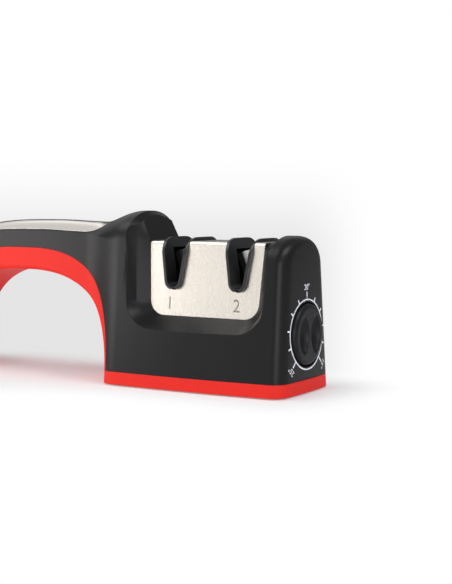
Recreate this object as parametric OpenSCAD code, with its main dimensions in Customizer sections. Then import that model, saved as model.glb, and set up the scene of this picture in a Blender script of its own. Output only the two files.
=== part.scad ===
// Two-stage manual knife sharpener with an angle knob on its end.
// Millimetres. +X points to the knob end, -Y to the front, +Z up, and z = 0 is the table.

/* [Overall] */
// Length from the tail foot to the knob's face
total_len = 211.6; // [200:0.1:225]
// Depth of the base at its middle, front to back
base_depth = 50; // [49:0.5:56]
// Length of the head that stands on the base tray
head_len = 87.5; // [87:0.5:93]
// Inward lean of the head's sides for each unit of height
side_draft = 0.09; // [0.07:0.005:0.105]
// Inward lean of the knob end for each unit of height
end_lean = 0.02; // [0.01:0.005:0.05]
// How far the long sides recede over half the head's length
side_bow = 1.5; // [0.5:0.1:2]
// Distance from the knob end to the head's deepest place
wide_inset = 60; // [55:0.5:65]
// How far the knob end recedes at its corners
end_bow = 1.3; // [0.5:0.1:1.8]
// Corner radius at the knob end, seen from above
corner_r = 6.2; // [4:0.1:8]

/* [Head] */
// Height of the hump between the handle and the saddle
hump_h = 74.3; // [72:0.1:80]
// Height of the post over the knob
post_h = 64.5; // [63:0.1:70]
// Rise of the head's rounded top over its shoulders
top_drop = 12.3; // [10:0.1:14]
// Wall thickness of the mouldings
wall = 2.5; // [2:0.1:3]

/* [Handle] */
// Height of the handle's crest
handle_h = 70; // [67:0.5:71]
// Width of the handle
handle_w = 30; // [27:0.5:34]
// Rise of the handle's crowned top over its rims
crown_h = 4.6; // [3:0.1:6]
// Height of the finger opening
arch_h = 47.6; // [42:0.1:49]
// Thickness of the grip underside below the handle
grip_t = 10; // [7:0.1:11]
// Thickness of the grip underside where it meets the base tray
grip_foot_t = 1.5; // [1.2:0.1:2.5]
// Length of the tail foot on the table
tail_len = 24; // [18:0.5:28]
// Corner radius of the tail, seen from above
tail_r = 8; // [5:0.5:11]
// Thickness of the steel inlay
inlay_t = 0.8; // [0.5:0.1:1.2]
// Width of the black rim beside the inlay
inlay_rim = 0.9; // [0.6:0.1:2]

/* [Base] */
// Height of the red band's top edge
band_h = 6; // [5.5:0.1:8]
// Floor thickness of the tray above the pad
floor_t = 2; // [1.5:0.1:2.4]
// Thickness of the rubber pads
pad_t = 1.6; // [1.2:0.1:2]
// How far the pads stand below the red band
pad_proud = 0.5; // [0.3:0.1:0.8]
// Margin between a pad and the edge of what it is glued to
pad_margin = 4; // [3:0.5:6]

/* [Saddle] */
// Height of the saddle's floor
saddle_z = 30.3; // [30:0.1:31.5]
// Length of the saddle's floor
saddle_len = 53.2; // [52:0.1:54]
// Distance from the knob end to the saddle's floor
saddle_inset = 15.4; // [15:0.1:15.8]
// Outward lean of the saddle's end walls for each unit of height
saddle_flare = 0.06; // [0.05:0.005:0.08]
// Radius of the saddle's bottom corners
saddle_r = 7; // [5:0.5:8]
// How far the saddle widens between the cover and the lip
ledge_out = 4.2; // [4:0.1:4.6]
// How far the ledge falls between the cover and the lip
ledge_drop = 2.7; // [2:0.1:3.5]
// Width of the bevelled lip round the saddle
lip_w = 3; // [2.6:0.1:3.4]
// Depth of the bevelled lip beside the cover
lip_depth = 3.9; // [3.5:0.1:4.2]
// Depth of the bevelled lip over the head's top
lip_top = 1.7; // [1.4:0.1:2]
// Outward lean of the end walls over the cover, for each unit of height
wall_lean = 0.35; // [0.3:0.01:0.38]
// Outward lean of the lip over the cover, for each unit of height
lip_lean = 0.17; // [0.14:0.01:0.2]

/* [Cover and slots] */
// Depth of the steel cover at the saddle's floor
cover_depth = 28.5; // [28:0.1:30]
// Height of the cover's top
cover_h = 61.8; // [61:0.1:63]
// Sheet thickness of the cover
cover_t = 0.8; // [0.5:0.1:1]
// Outside bend radius of the cover
cover_bend = 1.8; // [1.2:0.1:3]
// Wall thickness of the slot guide
guide_t = 2; // [1.6:0.1:2.2]
// Distance from the knob end to the second slot
slot_inset = 25.55; // [25.2:0.05:25.8]
// Distance between the two slots
slot_gap = 31.25; // [30.5:0.05:31.5]
// Width over a slot's rim at the cover's top
slot_w = 13.5; // [13:0.1:14.5]
// Height of the lowest point of a slot's rim
slot_z = 41.65; // [41.4:0.05:42]
// Outside radius of a slot's rim at the bottom
slot_r = 3.5; // [3.3:0.1:4.5]
// Thickness of a slot's rim
rim_t = 1.3; // [1.2:0.1:1.5]
// How far the rims stand out of the cover
rim_proud = 1.5; // [1:0.1:2]
// Rounding of the rims over the cover's edge
rim_round = 7.7; // [5:0.1:8]

/* [Rods and levers] */
// Diameter of a sharpening rod
rod_d = 4; // [3.5:0.1:4.2]
// Length of a sharpening rod
rod_len = 14.8; // [13:0.1:15]
// Distance of a rod's foot from the pivot
rod_start = 2.9; // [2.5:0.1:3.2]
// Angle of the rods to the upright at the middle setting
rod_angle = 20; // [18:0.5:20]
// Distance of each rod from the cover's middle plane
rod_y = 3.2; // [3.1:0.05:3.4]
// Height of the pivot pins
pivot_z = 40.8; // [40.6:0.1:41]
// Diameter of the pivot pins
pin_d = 3; // [2.5:0.1:3]
// Thickness of a lever
lever_t = 5; // [4.8:0.05:5.2]
// Radius of a lever's hub
hub_r = 3.9; // [3.6:0.1:4]
// Sideways distance from the pivot to a lever's ball
ball_x = 4.3; // [4.2:0.05:4.6]
// Distance from the pivot down to a lever's ball
ball_drop = 11.8; // [11.7:0.05:11.9]
// Diameter of a lever's ball
ball_d = 3; // [2.6:0.1:3]
// Diameter of the neck above the ball
neck_d = 1.8; // [1.4:0.1:2]

/* [Knob and spindle] */
// Height of the knob's axis
knob_z = 24.4; // [24.2:0.1:24.5]
// Diameter of the knob
knob_d = 25.5; // [23:0.5:27]
// Thickness of the knob
knob_t = 5.3; // [5:0.1:5.7]
// How far the knob stands out of the end face at its axis
knob_proud = 1.3; // [1:0.1:1.6]
// Rounding of the knob's outer edge
knob_edge = 2; // [1:0.1:2.2]
// Radial gap round the knob
knob_gap = 0.6; // [0.4:0.1:1]
// Length of a finger dimple's full lemon shape
dimple_len = 18.8; // [16:0.1:20]
// Half width of a finger dimple's full lemon shape
dimple_half = 4.4; // [3.4:0.1:4.5]
// Distance of a dimple from the knob's middle
dimple_y = 5; // [4.8:0.1:5.6]
// How far a dimple's axis lies outside the knob's face
dimple_out = 1.6; // [1.5:0.1:2]
// Knob turn from the middle setting to either end
knob_turn = 135; // [120:5:135]
// Rod turn from the middle setting to either end
rod_turn = 5; // [3:0.5:5]
// Radius of the cam drums
drum_r = 6.8; // [6.4:0.1:6.8]
// Length of each cam drum
drum_len = 18; // [17.5:0.1:18.5]
// Radius of the spindle between its drums
shaft_r = 3; // [2.8:0.1:3.2]
// Width of the spindle carrier's uprights
upright_t = 3; // [2.4:0.1:3.2]

/* [Fits and fasteners] */
// Clearance between parts that are seated on each other
seat_gap = 0.05; // [0.03:0.01:0.1]
// Radial clearance of running fits
run_gap = 0.05; // [0.03:0.01:0.1]
// Clearance round a lever's ball in its groove
cam_gap = 0.15; // [0.12:0.01:0.2]
// Clearance between the levers and what they pass
pass_gap = 0.4; // [0.3:0.05:0.45]
// Diameter of the screws
screw_d = 2.5; // [2.2:0.1:2.8]
// Diameter of the screw heads
head_d = 4.8; // [4.2:0.1:5]
// Height of the screw heads
head_h = 1.3; // [1:0.1:1.4]
// Thickness of the spring washer
washer_t = 0.6; // [0.4:0.1:0.8]
// Radial width of the spring washer
washer_w = 3.5; // [2.5:0.1:4]
// Thickness of the spindle clip
clip_t = 0.8; // [0.6:0.1:1]
// How far the spindle clip stands out of the shaft
clip_w = 0.6; // [0.4:0.1:0.7]

/* [Hidden] */
$fn = 48;
far = 200;
black = [0.16, 0.16, 0.17];
red = [0.87, 0.16, 0.14];
steel = [0.82, 0.80, 0.76];
rubber = [0.1, 0.1, 0.1];
nylon = [0.75, 0.75, 0.72];
grit = [0.3, 0.3, 0.32];
ceramic = [0.95, 0.94, 0.9];

// Places along X
knob_over = knob_proud - end_lean*knob_z;
x_end = total_len/2 - knob_over;
x_head = x_end - head_len;
x_wide = x_end - wide_inset;
x_tail = -total_len/2;
slot_2 = x_end - slot_inset;
slot_1 = slot_2 - slot_gap;
stages = [slot_1, slot_2];
x_between = (slot_1 + slot_2)/2;
saddle_x = x_end - saddle_inset - saddle_len/2;
saddle_left = saddle_x - saddle_len/2;
saddle_right = saddle_x + saddle_len/2;

// Outer and inner edges of the saddle's lip along X, on the hump and on the post
wall_foot = saddle_z + saddle_r;
lip_out_left = saddle_left - ledge_out - lip_w - saddle_flare*(hump_h - top_drop - wall_foot);
lip_in_left = lip_out_left + lip_w;
lip_out_right = saddle_right + ledge_out + lip_w + saddle_flare*(post_h - top_drop - wall_foot);
lip_in_right = lip_out_right - lip_w;
lip_foot = saddle_z - ledge_drop - lip_w;

// Finger opening: a superellipse that meets the base tray and the tail foot
arch_right = 50.5;
arch_x = x_head - arch_right;
arch_left = arch_x - (x_tail + tail_len);
arch_n = 2.55;
seam_n = 2.85;
seam_h = arch_h + grip_t;
tail_strip_t = 4;

// Handle's crest and the curve of its tail
crest_x = arch_x + 10;
crest_len = crest_x - x_tail;
tail_n = 3.1;
dip = 0.8;
hump_foot = x_head - 13;
hump_top = x_head + 8;
flare_start = x_head - 15;
flare_end = x_head + 7;

// Outline of the head and handle: half depth and top height along X
function mix(a, b, t) = a + (b - a)*t;
function step(a, b, x) = let (t = max(0, min(1, (x - a)/(b - a)))) t*t*(3 - 2*t);
function quarter(r, d) = d >= r ? 0 : r - sqrt(max(0, r*r - (r - d)*(r - d)));
function head_half(x, z) = base_depth/2 - side_bow*pow((x - x_wide)/(head_len/2), 2) - side_draft*z;
function handle_half(x, z) = handle_w/2 + side_draft*(seam_h - z)*0.4 - quarter(tail_r, x - x_tail);
function half(x, z) = mix(handle_half(x, z), head_half(x, z), step(flare_start, flare_end, x));
function tail_top(x) = handle_h*pow(1 - pow(max(0, crest_x - x)/crest_len, tail_n), 1/tail_n);
function rise_top(x) = mix(handle_h - dip*step(crest_x, hump_foot, x), hump_h, step(hump_foot, hump_top, x));
function top(x) = x < crest_x ? tail_top(x)
    : x < saddle_left ? rise_top(x)
    : mix(hump_h, post_h, step(saddle_left, saddle_right, x));
function headness(x) = step(hump_foot, x_head + 4, x);
function edge_drop(x) = min(mix(crown_h, top_drop, headness(x)), 0.45*top(x));
function shoulder(x) = top(x) - edge_drop(x);
ridge_half = 0.6;
function crown(x, y) = let (u = (abs(y) - ridge_half)/(half(x, shoulder(x)) - ridge_half))
    let (u = min(1, max(0, u)))
    shoulder(x) + edge_drop(x)*pow(1 - u*u, 1/(1 + headness(x)));

// Skin over closed rings of equal length
function join(lists) = [for (a = lists) for (b = a) b];
module skin(rings) {
    n = len(rings[0]);
    m = len(rings);
    sides = [for (j = [0 : m - 2]) for (i = [0 : n - 1]) let (k = (i + 1)%n)
        each [[j*n + i, j*n + k, (j + 1)*n + k], [j*n + i, (j + 1)*n + k, (j + 1)*n + i]]];
    ends = [[for (i = [n - 1 : -1 : 0]) i], [for (i = [0 : n - 1]) (m - 1)*n + i]];
    polyhedron(points = join(rings), faces = concat(sides, ends), convexity = 6);
}

// Cross-section of the body at x: the foot drawn in by one amount, the top drawn in and sunk by others
edge_steps = 6;
edge_u = [for (i = [0 : edge_steps]) cos(90*i/edge_steps)];
function top_points(x, inset, sink) = let (w = half(x, shoulder(x)), k = (w - inset)/w)
    let (rise = 1 - sink/edge_drop(x))
    [for (u = edge_u) let (y = mix(ridge_half, w, u)) [k*y, mix(shoulder(x), crown(x, y), rise)]];
belly = 0.05;
function foot_points(x, inset) = let (z = min(lip_foot, 0.5*shoulder(x)))
    [[half(x, 0) - inset, 0], [half(x, z) - inset + belly, z]];
function loop(pts) = concat([for (p = pts) [-p[0], p[1]]], [for (i = [len(pts) - 1 : -1 : 0]) pts[i]]);

// The lip over the head's top is a bevel of the sections beside the saddle
function lip_part(x) = min((x - lip_out_left)/lip_w, (lip_out_right - x)/lip_w);
function lip_sink(x) = lip_top*max(0, min(1, lip_part(x)));
function section(x) = [for (p = loop(concat(foot_points(x, 0), top_points(x, lip_sink(x), lip_sink(x)))))
    [x, p[0], p[1]]];

// Knob end: the last section turned in round the corner, then shrunk to the knob's axis over the bowed face
function end_in(y, z) = end_lean*z + end_bow*pow(y/(base_depth/2), 2);
x_corner = x_end - corner_r;
corner_sink = 0.5;
function corner_loop(inset) = loop(concat(foot_points(x_corner, inset),
    top_points(x_corner, inset, corner_sink*inset)));
function corner_section(t) = [for (p = corner_loop(corner_r*(1 - cos(t))))
    [x_end - corner_r*(1 - sin(t)) - sin(t)*end_in(p[0], p[1]), p[0], p[1]]];
function face_section(k) = [for (p = corner_loop(corner_r)) let (y = k*p[0], z = mix(knob_z, p[1], k))
    [x_end - end_in(y, z), y, z]];
face_parts = [0.7, 0.4, 0.1];

// Body of the housing and grip as one solid, before it is parted
tail_angles = [88, 86, 83, 79, 74, 68, 61, 53, 44, 34, 23, 12, 0];
tail_stations = [for (t = tail_angles) crest_x - crest_len*pow(sin(t), 2/tail_n)];
rise_steps = 14;
rise_stations = [for (i = [1 : rise_steps]) mix(crest_x, lip_out_left, i/rise_steps)];
saddle_steps = 5;
saddle_stations = [for (i = [0 : saddle_steps]) mix(lip_in_left, lip_in_right, i/saddle_steps)];
corner_steps = 5;
module body() {
    skin(concat(
        [for (x = concat(tail_stations, rise_stations, saddle_stations, [lip_out_right, x_corner])) section(x)],
        [for (i = [1 : corner_steps]) corner_section(90*i/corner_steps)],
        [for (k = face_parts) face_section(k)]));
}

// Side-view shapes, drawn in X and Z and pushed through Y
module through_y(depth = far) {
    rotate([90, 0, 0])
        linear_extrude(height = depth, center = true)
            children();
}

// Cross-section shapes, drawn in Y and Z and pushed along X
module along_x(from, to) {
    translate([from, 0, 0])
        rotate([90, 0, 90])
            linear_extrude(height = to - from)
                children();
}

// Superellipse arch over the table, with its own reach to either side
arch_steps = 36;
module arch_shape(left, right, height, n) {
    polygon(concat(
        [[arch_x - left, -far/2], [arch_x + right, -far/2]],
        [for (i = [0 : arch_steps]) let (t = 180*i/arch_steps, c = cos(t))
            [arch_x + (c > 0 ? right : -left)*pow(abs(c), 2/n), height*pow(sin(t), 2/n)]]));
}
module finger_shape() {
    arch_shape(arch_left, arch_right, arch_h, arch_n);
}
module seam_shape(gap = 0) {
    arch_shape(arch_left + tail_strip_t + gap, arch_right + grip_foot_t + gap, seam_h + gap, seam_n);
}

// Plan of the head at height z, drawn in by o
plan_steps = 10;
function plan_side(z, o) = concat(
    [for (i = [0 : plan_steps]) let (x = mix(x_head + o, x_corner, i/plan_steps)) [x, half(x, z) - o]],
    [for (i = [1 : corner_steps]) let (t = 90*i/corner_steps, r = max(0.5, corner_r - o))
        let (y = half(x_corner, z) - o - r*(1 - cos(t)))
        [x_end - o - r*(1 - sin(t)) - sin(t)*end_in(y, z), y]],
    [for (k = face_parts) let (y = k*(half(x_corner, z) - corner_r)) [x_end - o - end_in(y, z), y]]);
module head_plan(z, o) {
    s = plan_side(z, o);
    polygon(concat(s, [for (i = [len(s) - 1 : -1 : 0]) [s[i][0], -s[i][1]]]));
}

// Plan of the tail foot at height z, drawn in by o
tail_inner = x_tail + tail_len;
function tail_side(z, o) = concat(
    [[tail_inner - o, handle_half(tail_inner, z) - o]],
    [for (i = [0 : corner_steps]) let (t = 90*i/corner_steps, r = max(0.5, tail_r - o))
        [x_tail + o + r*(1 - sin(t)), handle_half(tail_inner, z) - o - r*(1 - cos(t))]]);
module tail_plan(z, o) {
    s = tail_side(z, o);
    polygon(concat(s, [for (i = [len(s) - 1 : -1 : 0]) [s[i][0], -s[i][1]]]));
}

// Saddle: a U in side view that widens over the ledge and then at the lip
u_steps = 6;
u_tip = hump_h + 4;
function u_side(side, o, drop, lean) = let (x0 = saddle_len/2 - saddle_r)
    concat(
        [for (i = [0 : u_steps]) let (t = 90*i/u_steps)
            [saddle_x + side*(x0 + (saddle_r + o)*sin(t)), wall_foot - (saddle_r + drop)*cos(t)]],
        [for (z = [cover_h, u_tip]) let (out = saddle_flare*(z - wall_foot) + lean*(z - cover_h))
            [saddle_x + side*(x0 + saddle_r + o + out), z]]);
function u_loop(o, drop, lean) = let (l = u_side(-1, o, drop, lean))
    concat(u_side(1, o, drop, lean), [for (i = [len(l) - 1 : -1 : 0]) l[i]]);
function wall_ring(side) = let (y = cover_depth/2 + seat_gap)
    [for (p = u_loop(0, 0, wall_lean)) [p[0], side*(y - side_draft*(p[1] - saddle_z)), p[1]]];
function lip_ring(side, run, rise) = [for (p = u_loop(ledge_out + run, ledge_drop + run, lip_lean))
    [p[0], side*(half(p[0], p[1]) + rise), p[1]]];
function cap_ring(side) = [for (p = u_loop(ledge_out + 2*lip_w, ledge_drop + 2*lip_w, lip_lean))
    [p[0], side*far/4, p[1]]];
module saddle_cut() {
    skin([cap_ring(-1),
        lip_ring(-1, 2*lip_w, lip_depth),
        lip_ring(-1, 0, -lip_depth),
        wall_ring(-1),
        wall_ring(1),
        lip_ring(1, 0, -lip_depth),
        lip_ring(1, 2*lip_w, lip_depth),
        cap_ring(1)]);
}
module saddle_shape(gap) {
    polygon(u_loop(-gap, -gap, 0));
}

// Screw standing head down with the top of its head at the origin
module screw(length) {
    cylinder(d = screw_d, h = length);
    translate([0, 0, -head_h])
        cylinder(d = head_d, h = head_h);
}
module screw_hole(length, head_depth = far) {
    translate([0, 0, -seat_gap])
        cylinder(d = screw_d + 2*seat_gap, h = length + 2*seat_gap);
    translate([0, 0, -head_depth])
        cylinder(d = head_d + 4*seat_gap, h = head_depth);
}

// Heights of the base stack
tray_z = pad_proud;
pad_top = pad_t;
tray_floor = pad_top + floor_t;
cavity_top = 23;
boss_r = 3.3;
channel_top = saddle_z - 2;
base_points = [for (x = [x_head + 9.5, x_end - 15]) for (s = [-1, 1])
    [x, s*(half(x, cavity_top) - wall - boss_r - 0.4)]];
base_screw_len = 12;
tail_screw_len = 14;
tail_points = [for (s = [-1, 1]) [x_tail + tail_len/2, s*6]];
carrier_points = [for (x = [slot_1 - 4, slot_2 + 4]) for (s = [-1, 1]) [x, s*7.5]];
carrier_boss = 5;
screw_tip = 1;
carrier_screw_len = carrier_boss + floor_t - head_h - screw_tip;
guide_points = [for (x = [saddle_left + saddle_r + 1.4, saddle_right - saddle_r - 0.4]) for (s = [-1, 1])
    [x, s*(cover_depth/2 - cover_t - guide_t - 1)]];
guide_boss_h = 6.5;
guide_screw_len = saddle_z - cavity_top + guide_boss_h - 2*screw_tip;

// Knob end
end_x = x_end - end_lean*knob_z;
knob_face = end_x + knob_proud;
knob_back = knob_face - knob_t;
recess_x = knob_back - washer_t - 2*seat_gap;
cavity_end = recess_x - 3;
cavity_start = x_head + grip_foot_t + wall;

// Openings in the saddle's floor for the levers and drums
pit_half = drum_len/2 + 0.5;
pit_y = drum_r + 1.1;

module head_cavity() {
    // Room for the mechanism, open to the tray
    difference() {
        translate([0, 0, -far])
            linear_extrude(height = far + cavity_top)
                intersection() {
                    head_plan(cavity_top, wall);
                    translate([cavity_start, -far/2])
                        square([cavity_end - cavity_start, far]);
                }
        for (p = base_points)
            translate([p[0], p[1], 0])
                cylinder(r = boss_r, h = far);
    }
    // Channel along the spindle, and pits up to the levers
    translate([saddle_left - 3.5, -pit_y, 0])
        cube([cavity_end - saddle_left + 3.5, 2*pit_y, channel_top]);
    for (s = stages)
        translate([s - pit_half, -pit_y, 0])
            cube([2*pit_half, 2*pit_y, saddle_z + 3]);
    // Hollow of the hump
    translate([x_head + grip_foot_t + 2*wall, -handle_w/2 + wall, 0])
        cube([saddle_left - 3 - x_head - grip_foot_t - 3*wall, handle_w - 2*wall, hump_h - top_drop]);
}

// Channel inside the handle, closed by the grip underside
handle_wall = 3;
module handle_hollow() {
    intersection() {
        through_y(handle_w - 2*handle_wall - 1)
            difference() {
                arch_shape(arch_left + 12, arch_right + grip_foot_t, seam_h + 4.5, seam_n);
                translate([x_head - 12, -far])
                    square(2*far);
            }
        translate([-far, -far/2, band_h + tail_screw_len])
            cube([2*far, far, far]);
    }
}

module knob_seat() {
    translate([recess_x, 0, knob_z])
        rotate([0, 90, 0])
            cylinder(d = knob_d + 2*knob_gap, h = far);
    translate([cavity_end - 1, 0, knob_z])
        rotate([0, 90, 0])
            cylinder(r = shaft_r + run_gap, h = far);
}

// Inlay plate: a strip of the handle's crown with round ends
inlay_from = x_tail + 14;
inlay_to = x_head - 6.5;
inlay_end = 9;
inlay_steps = 5;
inlay_stations = concat(
    [for (i = [0 : inlay_steps]) inlay_from + inlay_end*(1 - cos(90*i/inlay_steps))],
    [for (i = [1 : 11]) mix(inlay_from + inlay_end, inlay_to - inlay_end, i/12)],
    [for (i = [0 : inlay_steps]) inlay_to - inlay_end*(1 - sin(90*i/inlay_steps))]);
function inlay_half(x, grow) = let (w = half(x, shoulder(x)) - inlay_rim)
    let (e = min(x - inlay_from, inlay_to - x), d = max(0, inlay_end - e)/inlay_end)
    grow + w*(0.35 + 0.65*sqrt(max(0, 1 - d*d)));
function inlay_ring(x, grow, up, down) = let (w = inlay_half(x, grow))
    let (row = [for (i = [-5 : 5]) let (y = w*sin(18*i)) [x, y, crown(x, y)]])
    concat([for (i = [10 : -1 : 0]) row[i] - [0, 0, down]], [for (p = row) p + [0, 0, up]]);
function inlay_end_side(x) = x < inlay_from + 1 ? -1 : x > inlay_to - 1 ? 1 : 0;
module inlay_plate(grow, up, down) {
    skin([for (x = inlay_stations) inlay_ring(x + grow*inlay_end_side(x), grow, up, down)]);
}

module housing() {
    color(black)
        difference() {
            body();
            translate([-far, -far, -far])
                cube([2*far, 2*far, far + band_h]);
            through_y() seam_shape(seat_gap);
            saddle_cut();
            head_cavity();
            handle_hollow();
            knob_seat();
            inlay_plate(seat_gap, 3, inlay_t + seat_gap);
            for (p = base_points)
                translate([p[0], p[1], tray_floor])
                    cylinder(d = screw_d + 2*seat_gap, h = base_screw_len);
            for (p = tail_points)
                translate([p[0], p[1], pad_top])
                    cylinder(d = screw_d + 2*seat_gap, h = tail_screw_len + 1);
            for (p = guide_points)
                translate([p[0], p[1], cavity_top])
                    cylinder(d = screw_d + 2*seat_gap, h = far);
        }
}

module base_tray() {
    color(red)
        difference() {
            intersection() {
                body();
                translate([x_head, -far/2, tray_z])
                    cube([far, far, band_h - tray_z - seat_gap]);
            }
            translate([0, 0, tray_floor])
                linear_extrude(height = far)
                    head_plan(cavity_top, wall + 0.5);
            linear_extrude(height = pad_top + seat_gap)
                head_plan(0, pad_margin - seat_gap);
            for (p = concat(base_points, carrier_points))
                translate([p[0], p[1], pad_top + head_h + seat_gap])
                    screw_hole(far);
        }
}

// Side view of the grip underside: the strip under the handle and the sole of the tail
module grip_shape() {
    difference() {
        union() {
            intersection() {
                seam_shape();
                translate([-far, band_h])
                    square(2*far);
            }
            translate([x_tail - 1, tray_z])
                square([tail_len + 1, band_h - tray_z]);
        }
        finger_shape();
    }
}
module grip_underside() {
    color(red)
        difference() {
            intersection() {
                body();
                through_y() grip_shape();
            }
            linear_extrude(height = pad_top + seat_gap)
                tail_plan(0, pad_margin - seat_gap);
            for (p = tail_points)
                translate([p[0], p[1], pad_top + head_h + seat_gap])
                    screw_hole(far);
        }
}

module handle_inlay() {
    color(steel)
        inlay_plate(0, 0, inlay_t);
}

// Cross-section of the cover's outside, drawn in by o
function cover_half(z) = cover_depth/2 - side_draft*(z - saddle_z);
module cover_section(o) {
    r = max(0.3, cover_bend - o);
    zt = cover_h - o;
    yt = cover_half(zt) - o;
    arc = [for (i = [0 : 4]) [yt - r*(1 - cos(22.5*i)), zt - r*(1 - sin(22.5*i))]];
    low = cover_half(0) - o;
    polygon(concat([[-low, 0], [low, 0]], arc, [for (i = [4 : -1 : 0]) [-arc[i][0], arc[i][1]]]));
}

// Knife slot in side view: a round bottom with tangent walls that lean out
slot_c = slot_z + slot_r;
slot_reach = [slot_w/2, cover_h - slot_c];
slot_lean = acos(slot_r/norm(slot_reach)) - atan2(slot_reach[1], slot_reach[0]);
slot_steps = 16;
module slot_shape(r) {
    arc = [for (i = [0 : slot_steps]) let (t = mix(180 + slot_lean, 360 - slot_lean, i/slot_steps))
        [r*cos(t), slot_c + r*sin(t)]];
    tip = far/2;
    x1 = arc[slot_steps][0] + (tip - arc[slot_steps][1])*tan(slot_lean);
    polygon(concat(arc, [[x1, tip], [-x1, tip]]));
}

module steel_cover() {
    color(steel)
        difference() {
            intersection() {
                along_x(saddle_left - far/4, saddle_right + far/4)
                    difference() {
                        cover_section(0);
                        cover_section(cover_t);
                    }
                through_y() saddle_shape(3*seat_gap);
            }
            for (s = stages)
                translate([s, 0, 0])
                    through_y() slot_shape(slot_r + seat_gap);
        }
}

// Rim profile over the cover, seen along X
rim_steps = 6;
function rim_edge(z) = cover_half(z) + rim_proud;
module rim_section() {
    zt = cover_h + rim_proud;
    zc = zt - rim_round;
    arc = [for (i = [0 : rim_steps]) let (t = 90*i/rim_steps)
        [mix(rim_edge(zc), rim_edge(zt), i/rim_steps) - rim_round*(1 - cos(t)), zc + rim_round*sin(t)]];
    low = rim_edge(0);
    polygon(concat([[-low, 0], [low, 0]], arc, [for (i = [rim_steps : -1 : 0]) [-arc[i][0], arc[i][1]]]));
}

window_y = rod_y + lever_t/2 + pass_gap;
window_top = cover_h - cover_t - seat_gap - guide_t;
pin_half = cover_half(pivot_z) - cover_t - guide_t/2;
module slot_guide() {
    o = cover_t + seat_gap;
    color(black)
        difference() {
            union() {
                intersection() {
                    along_x(saddle_left - far/4, saddle_right + far/4)
                        difference() {
                            cover_section(o);
                            cover_section(o + guide_t);
                        }
                    through_y() saddle_shape(3*seat_gap);
                }
                for (s = stages) {
                    intersection() {
                        translate([s, 0, 0])
                            through_y() slot_shape(slot_r);
                        along_x(s - far/4, s + far/4)
                            rim_section();
                    }
                    for (side = [-1, 1])
                        translate([s, side*(window_y + pin_half)/2, pivot_z])
                            rotate([90, 0, 0])
                                cylinder(d = pin_d + 2*rim_t, h = pin_half - window_y + 0.2, center = true);
                }
                intersection() {
                    along_x(saddle_left, saddle_right)
                        cover_section(o);
                    for (p = guide_points)
                        translate([p[0], p[1], saddle_z + 3*seat_gap])
                            cylinder(d = screw_d + 2*rim_t, h = guide_boss_h);
                }
            }
            for (s = stages)
                translate([s, 0, 0]) {
                    through_y() slot_shape(slot_r - rim_t);
                    translate([-slot_w, -window_y, 0])
                        cube([2*slot_w, 2*window_y, window_top]);
                    translate([0, 0, pivot_z])
                        rotate([90, 0, 0])
                            cylinder(d = pin_d + 2*run_gap, h = far, center = true);
                }
            for (p = guide_points)
                translate([p[0], p[1], saddle_z - 1])
                    cylinder(d = screw_d + 2*seat_gap, h = guide_boss_h);
        }
}

// Spindle with two cam drums; each drum has two grooves of opposite hand
function peg_x(turn) = let (t = turn*rod_turn/knob_turn) ball_x*cos(t) + ball_drop*sin(t);
peg_z = pivot_z - ball_drop - knob_z;
groove_over = 30;
groove_steps = 32;
groove_floor = norm([rod_y, peg_z]) - ball_d/2 - 0.7;
module groove(s, side) {
    base = atan2(peg_z, side*rod_y);
    wide = ball_d/2 + cam_gap;
    reach = knob_turn + groove_over;
    skin([for (i = [0 : groove_steps]) let (turn = mix(-reach, reach, i/groove_steps), a = base - turn)
        [for (q = [[-wide, groove_floor], [wide, groove_floor], [wide, drum_r + 1], [-wide, drum_r + 1]])
            [s + side*peg_x(turn) + q[0], q[1]*cos(a), knob_z + q[1]*sin(a)]]]);
}
spindle_start = slot_1 - drum_len/2 - upright_t - 1.2;
knob_skin = 0.4;
spindle_end = knob_face - dimple_half + dimple_out - knob_skin;
flat_depth = 0.8;
clip_seat = 0.7;
clip_mouth = 4;
clip_x = cavity_end - clip_t - 0.2;
module x_cylinder(r, from, to) {
    translate([from, 0, knob_z])
        rotate([0, 90, 0])
            cylinder(r = r, h = to - from);
}
module cam_spindle() {
    color(nylon)
        difference() {
            union() {
                x_cylinder(shaft_r, spindle_start, spindle_end);
                for (s = stages)
                    x_cylinder(drum_r, s - drum_len/2, s + drum_len/2);
            }
            for (s = stages)
                for (side = [-1, 1])
                    groove(s, side);
            // Flat that drives the knob, and the clip's groove
            translate([knob_back, -far/2, knob_z + shaft_r - flat_depth])
                cube([far, far, far]);
            difference() {
                x_cylinder(far/4, clip_x - seat_gap, clip_x + clip_t + seat_gap);
                x_cylinder(shaft_r - clip_seat, clip_x - 1, clip_x + clip_t + 1);
            }
        }
}

module spindle_clip() {
    color(steel)
        difference() {
            x_cylinder(shaft_r + clip_w, clip_x, clip_x + clip_t);
            x_cylinder(shaft_r - clip_seat + seat_gap, clip_x - 1, clip_x + clip_t + 1);
            translate([clip_x - 1, -clip_mouth/2, knob_z - far/4])
                cube([clip_t + 2, clip_mouth, far/4]);
        }
}

module spring_washer() {
    color(steel)
        difference() {
            x_cylinder(shaft_r + washer_w, recess_x + seat_gap, recess_x + seat_gap + washer_t);
            x_cylinder(shaft_r + 0.3, recess_x - 1, knob_face);
        }
}

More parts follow.
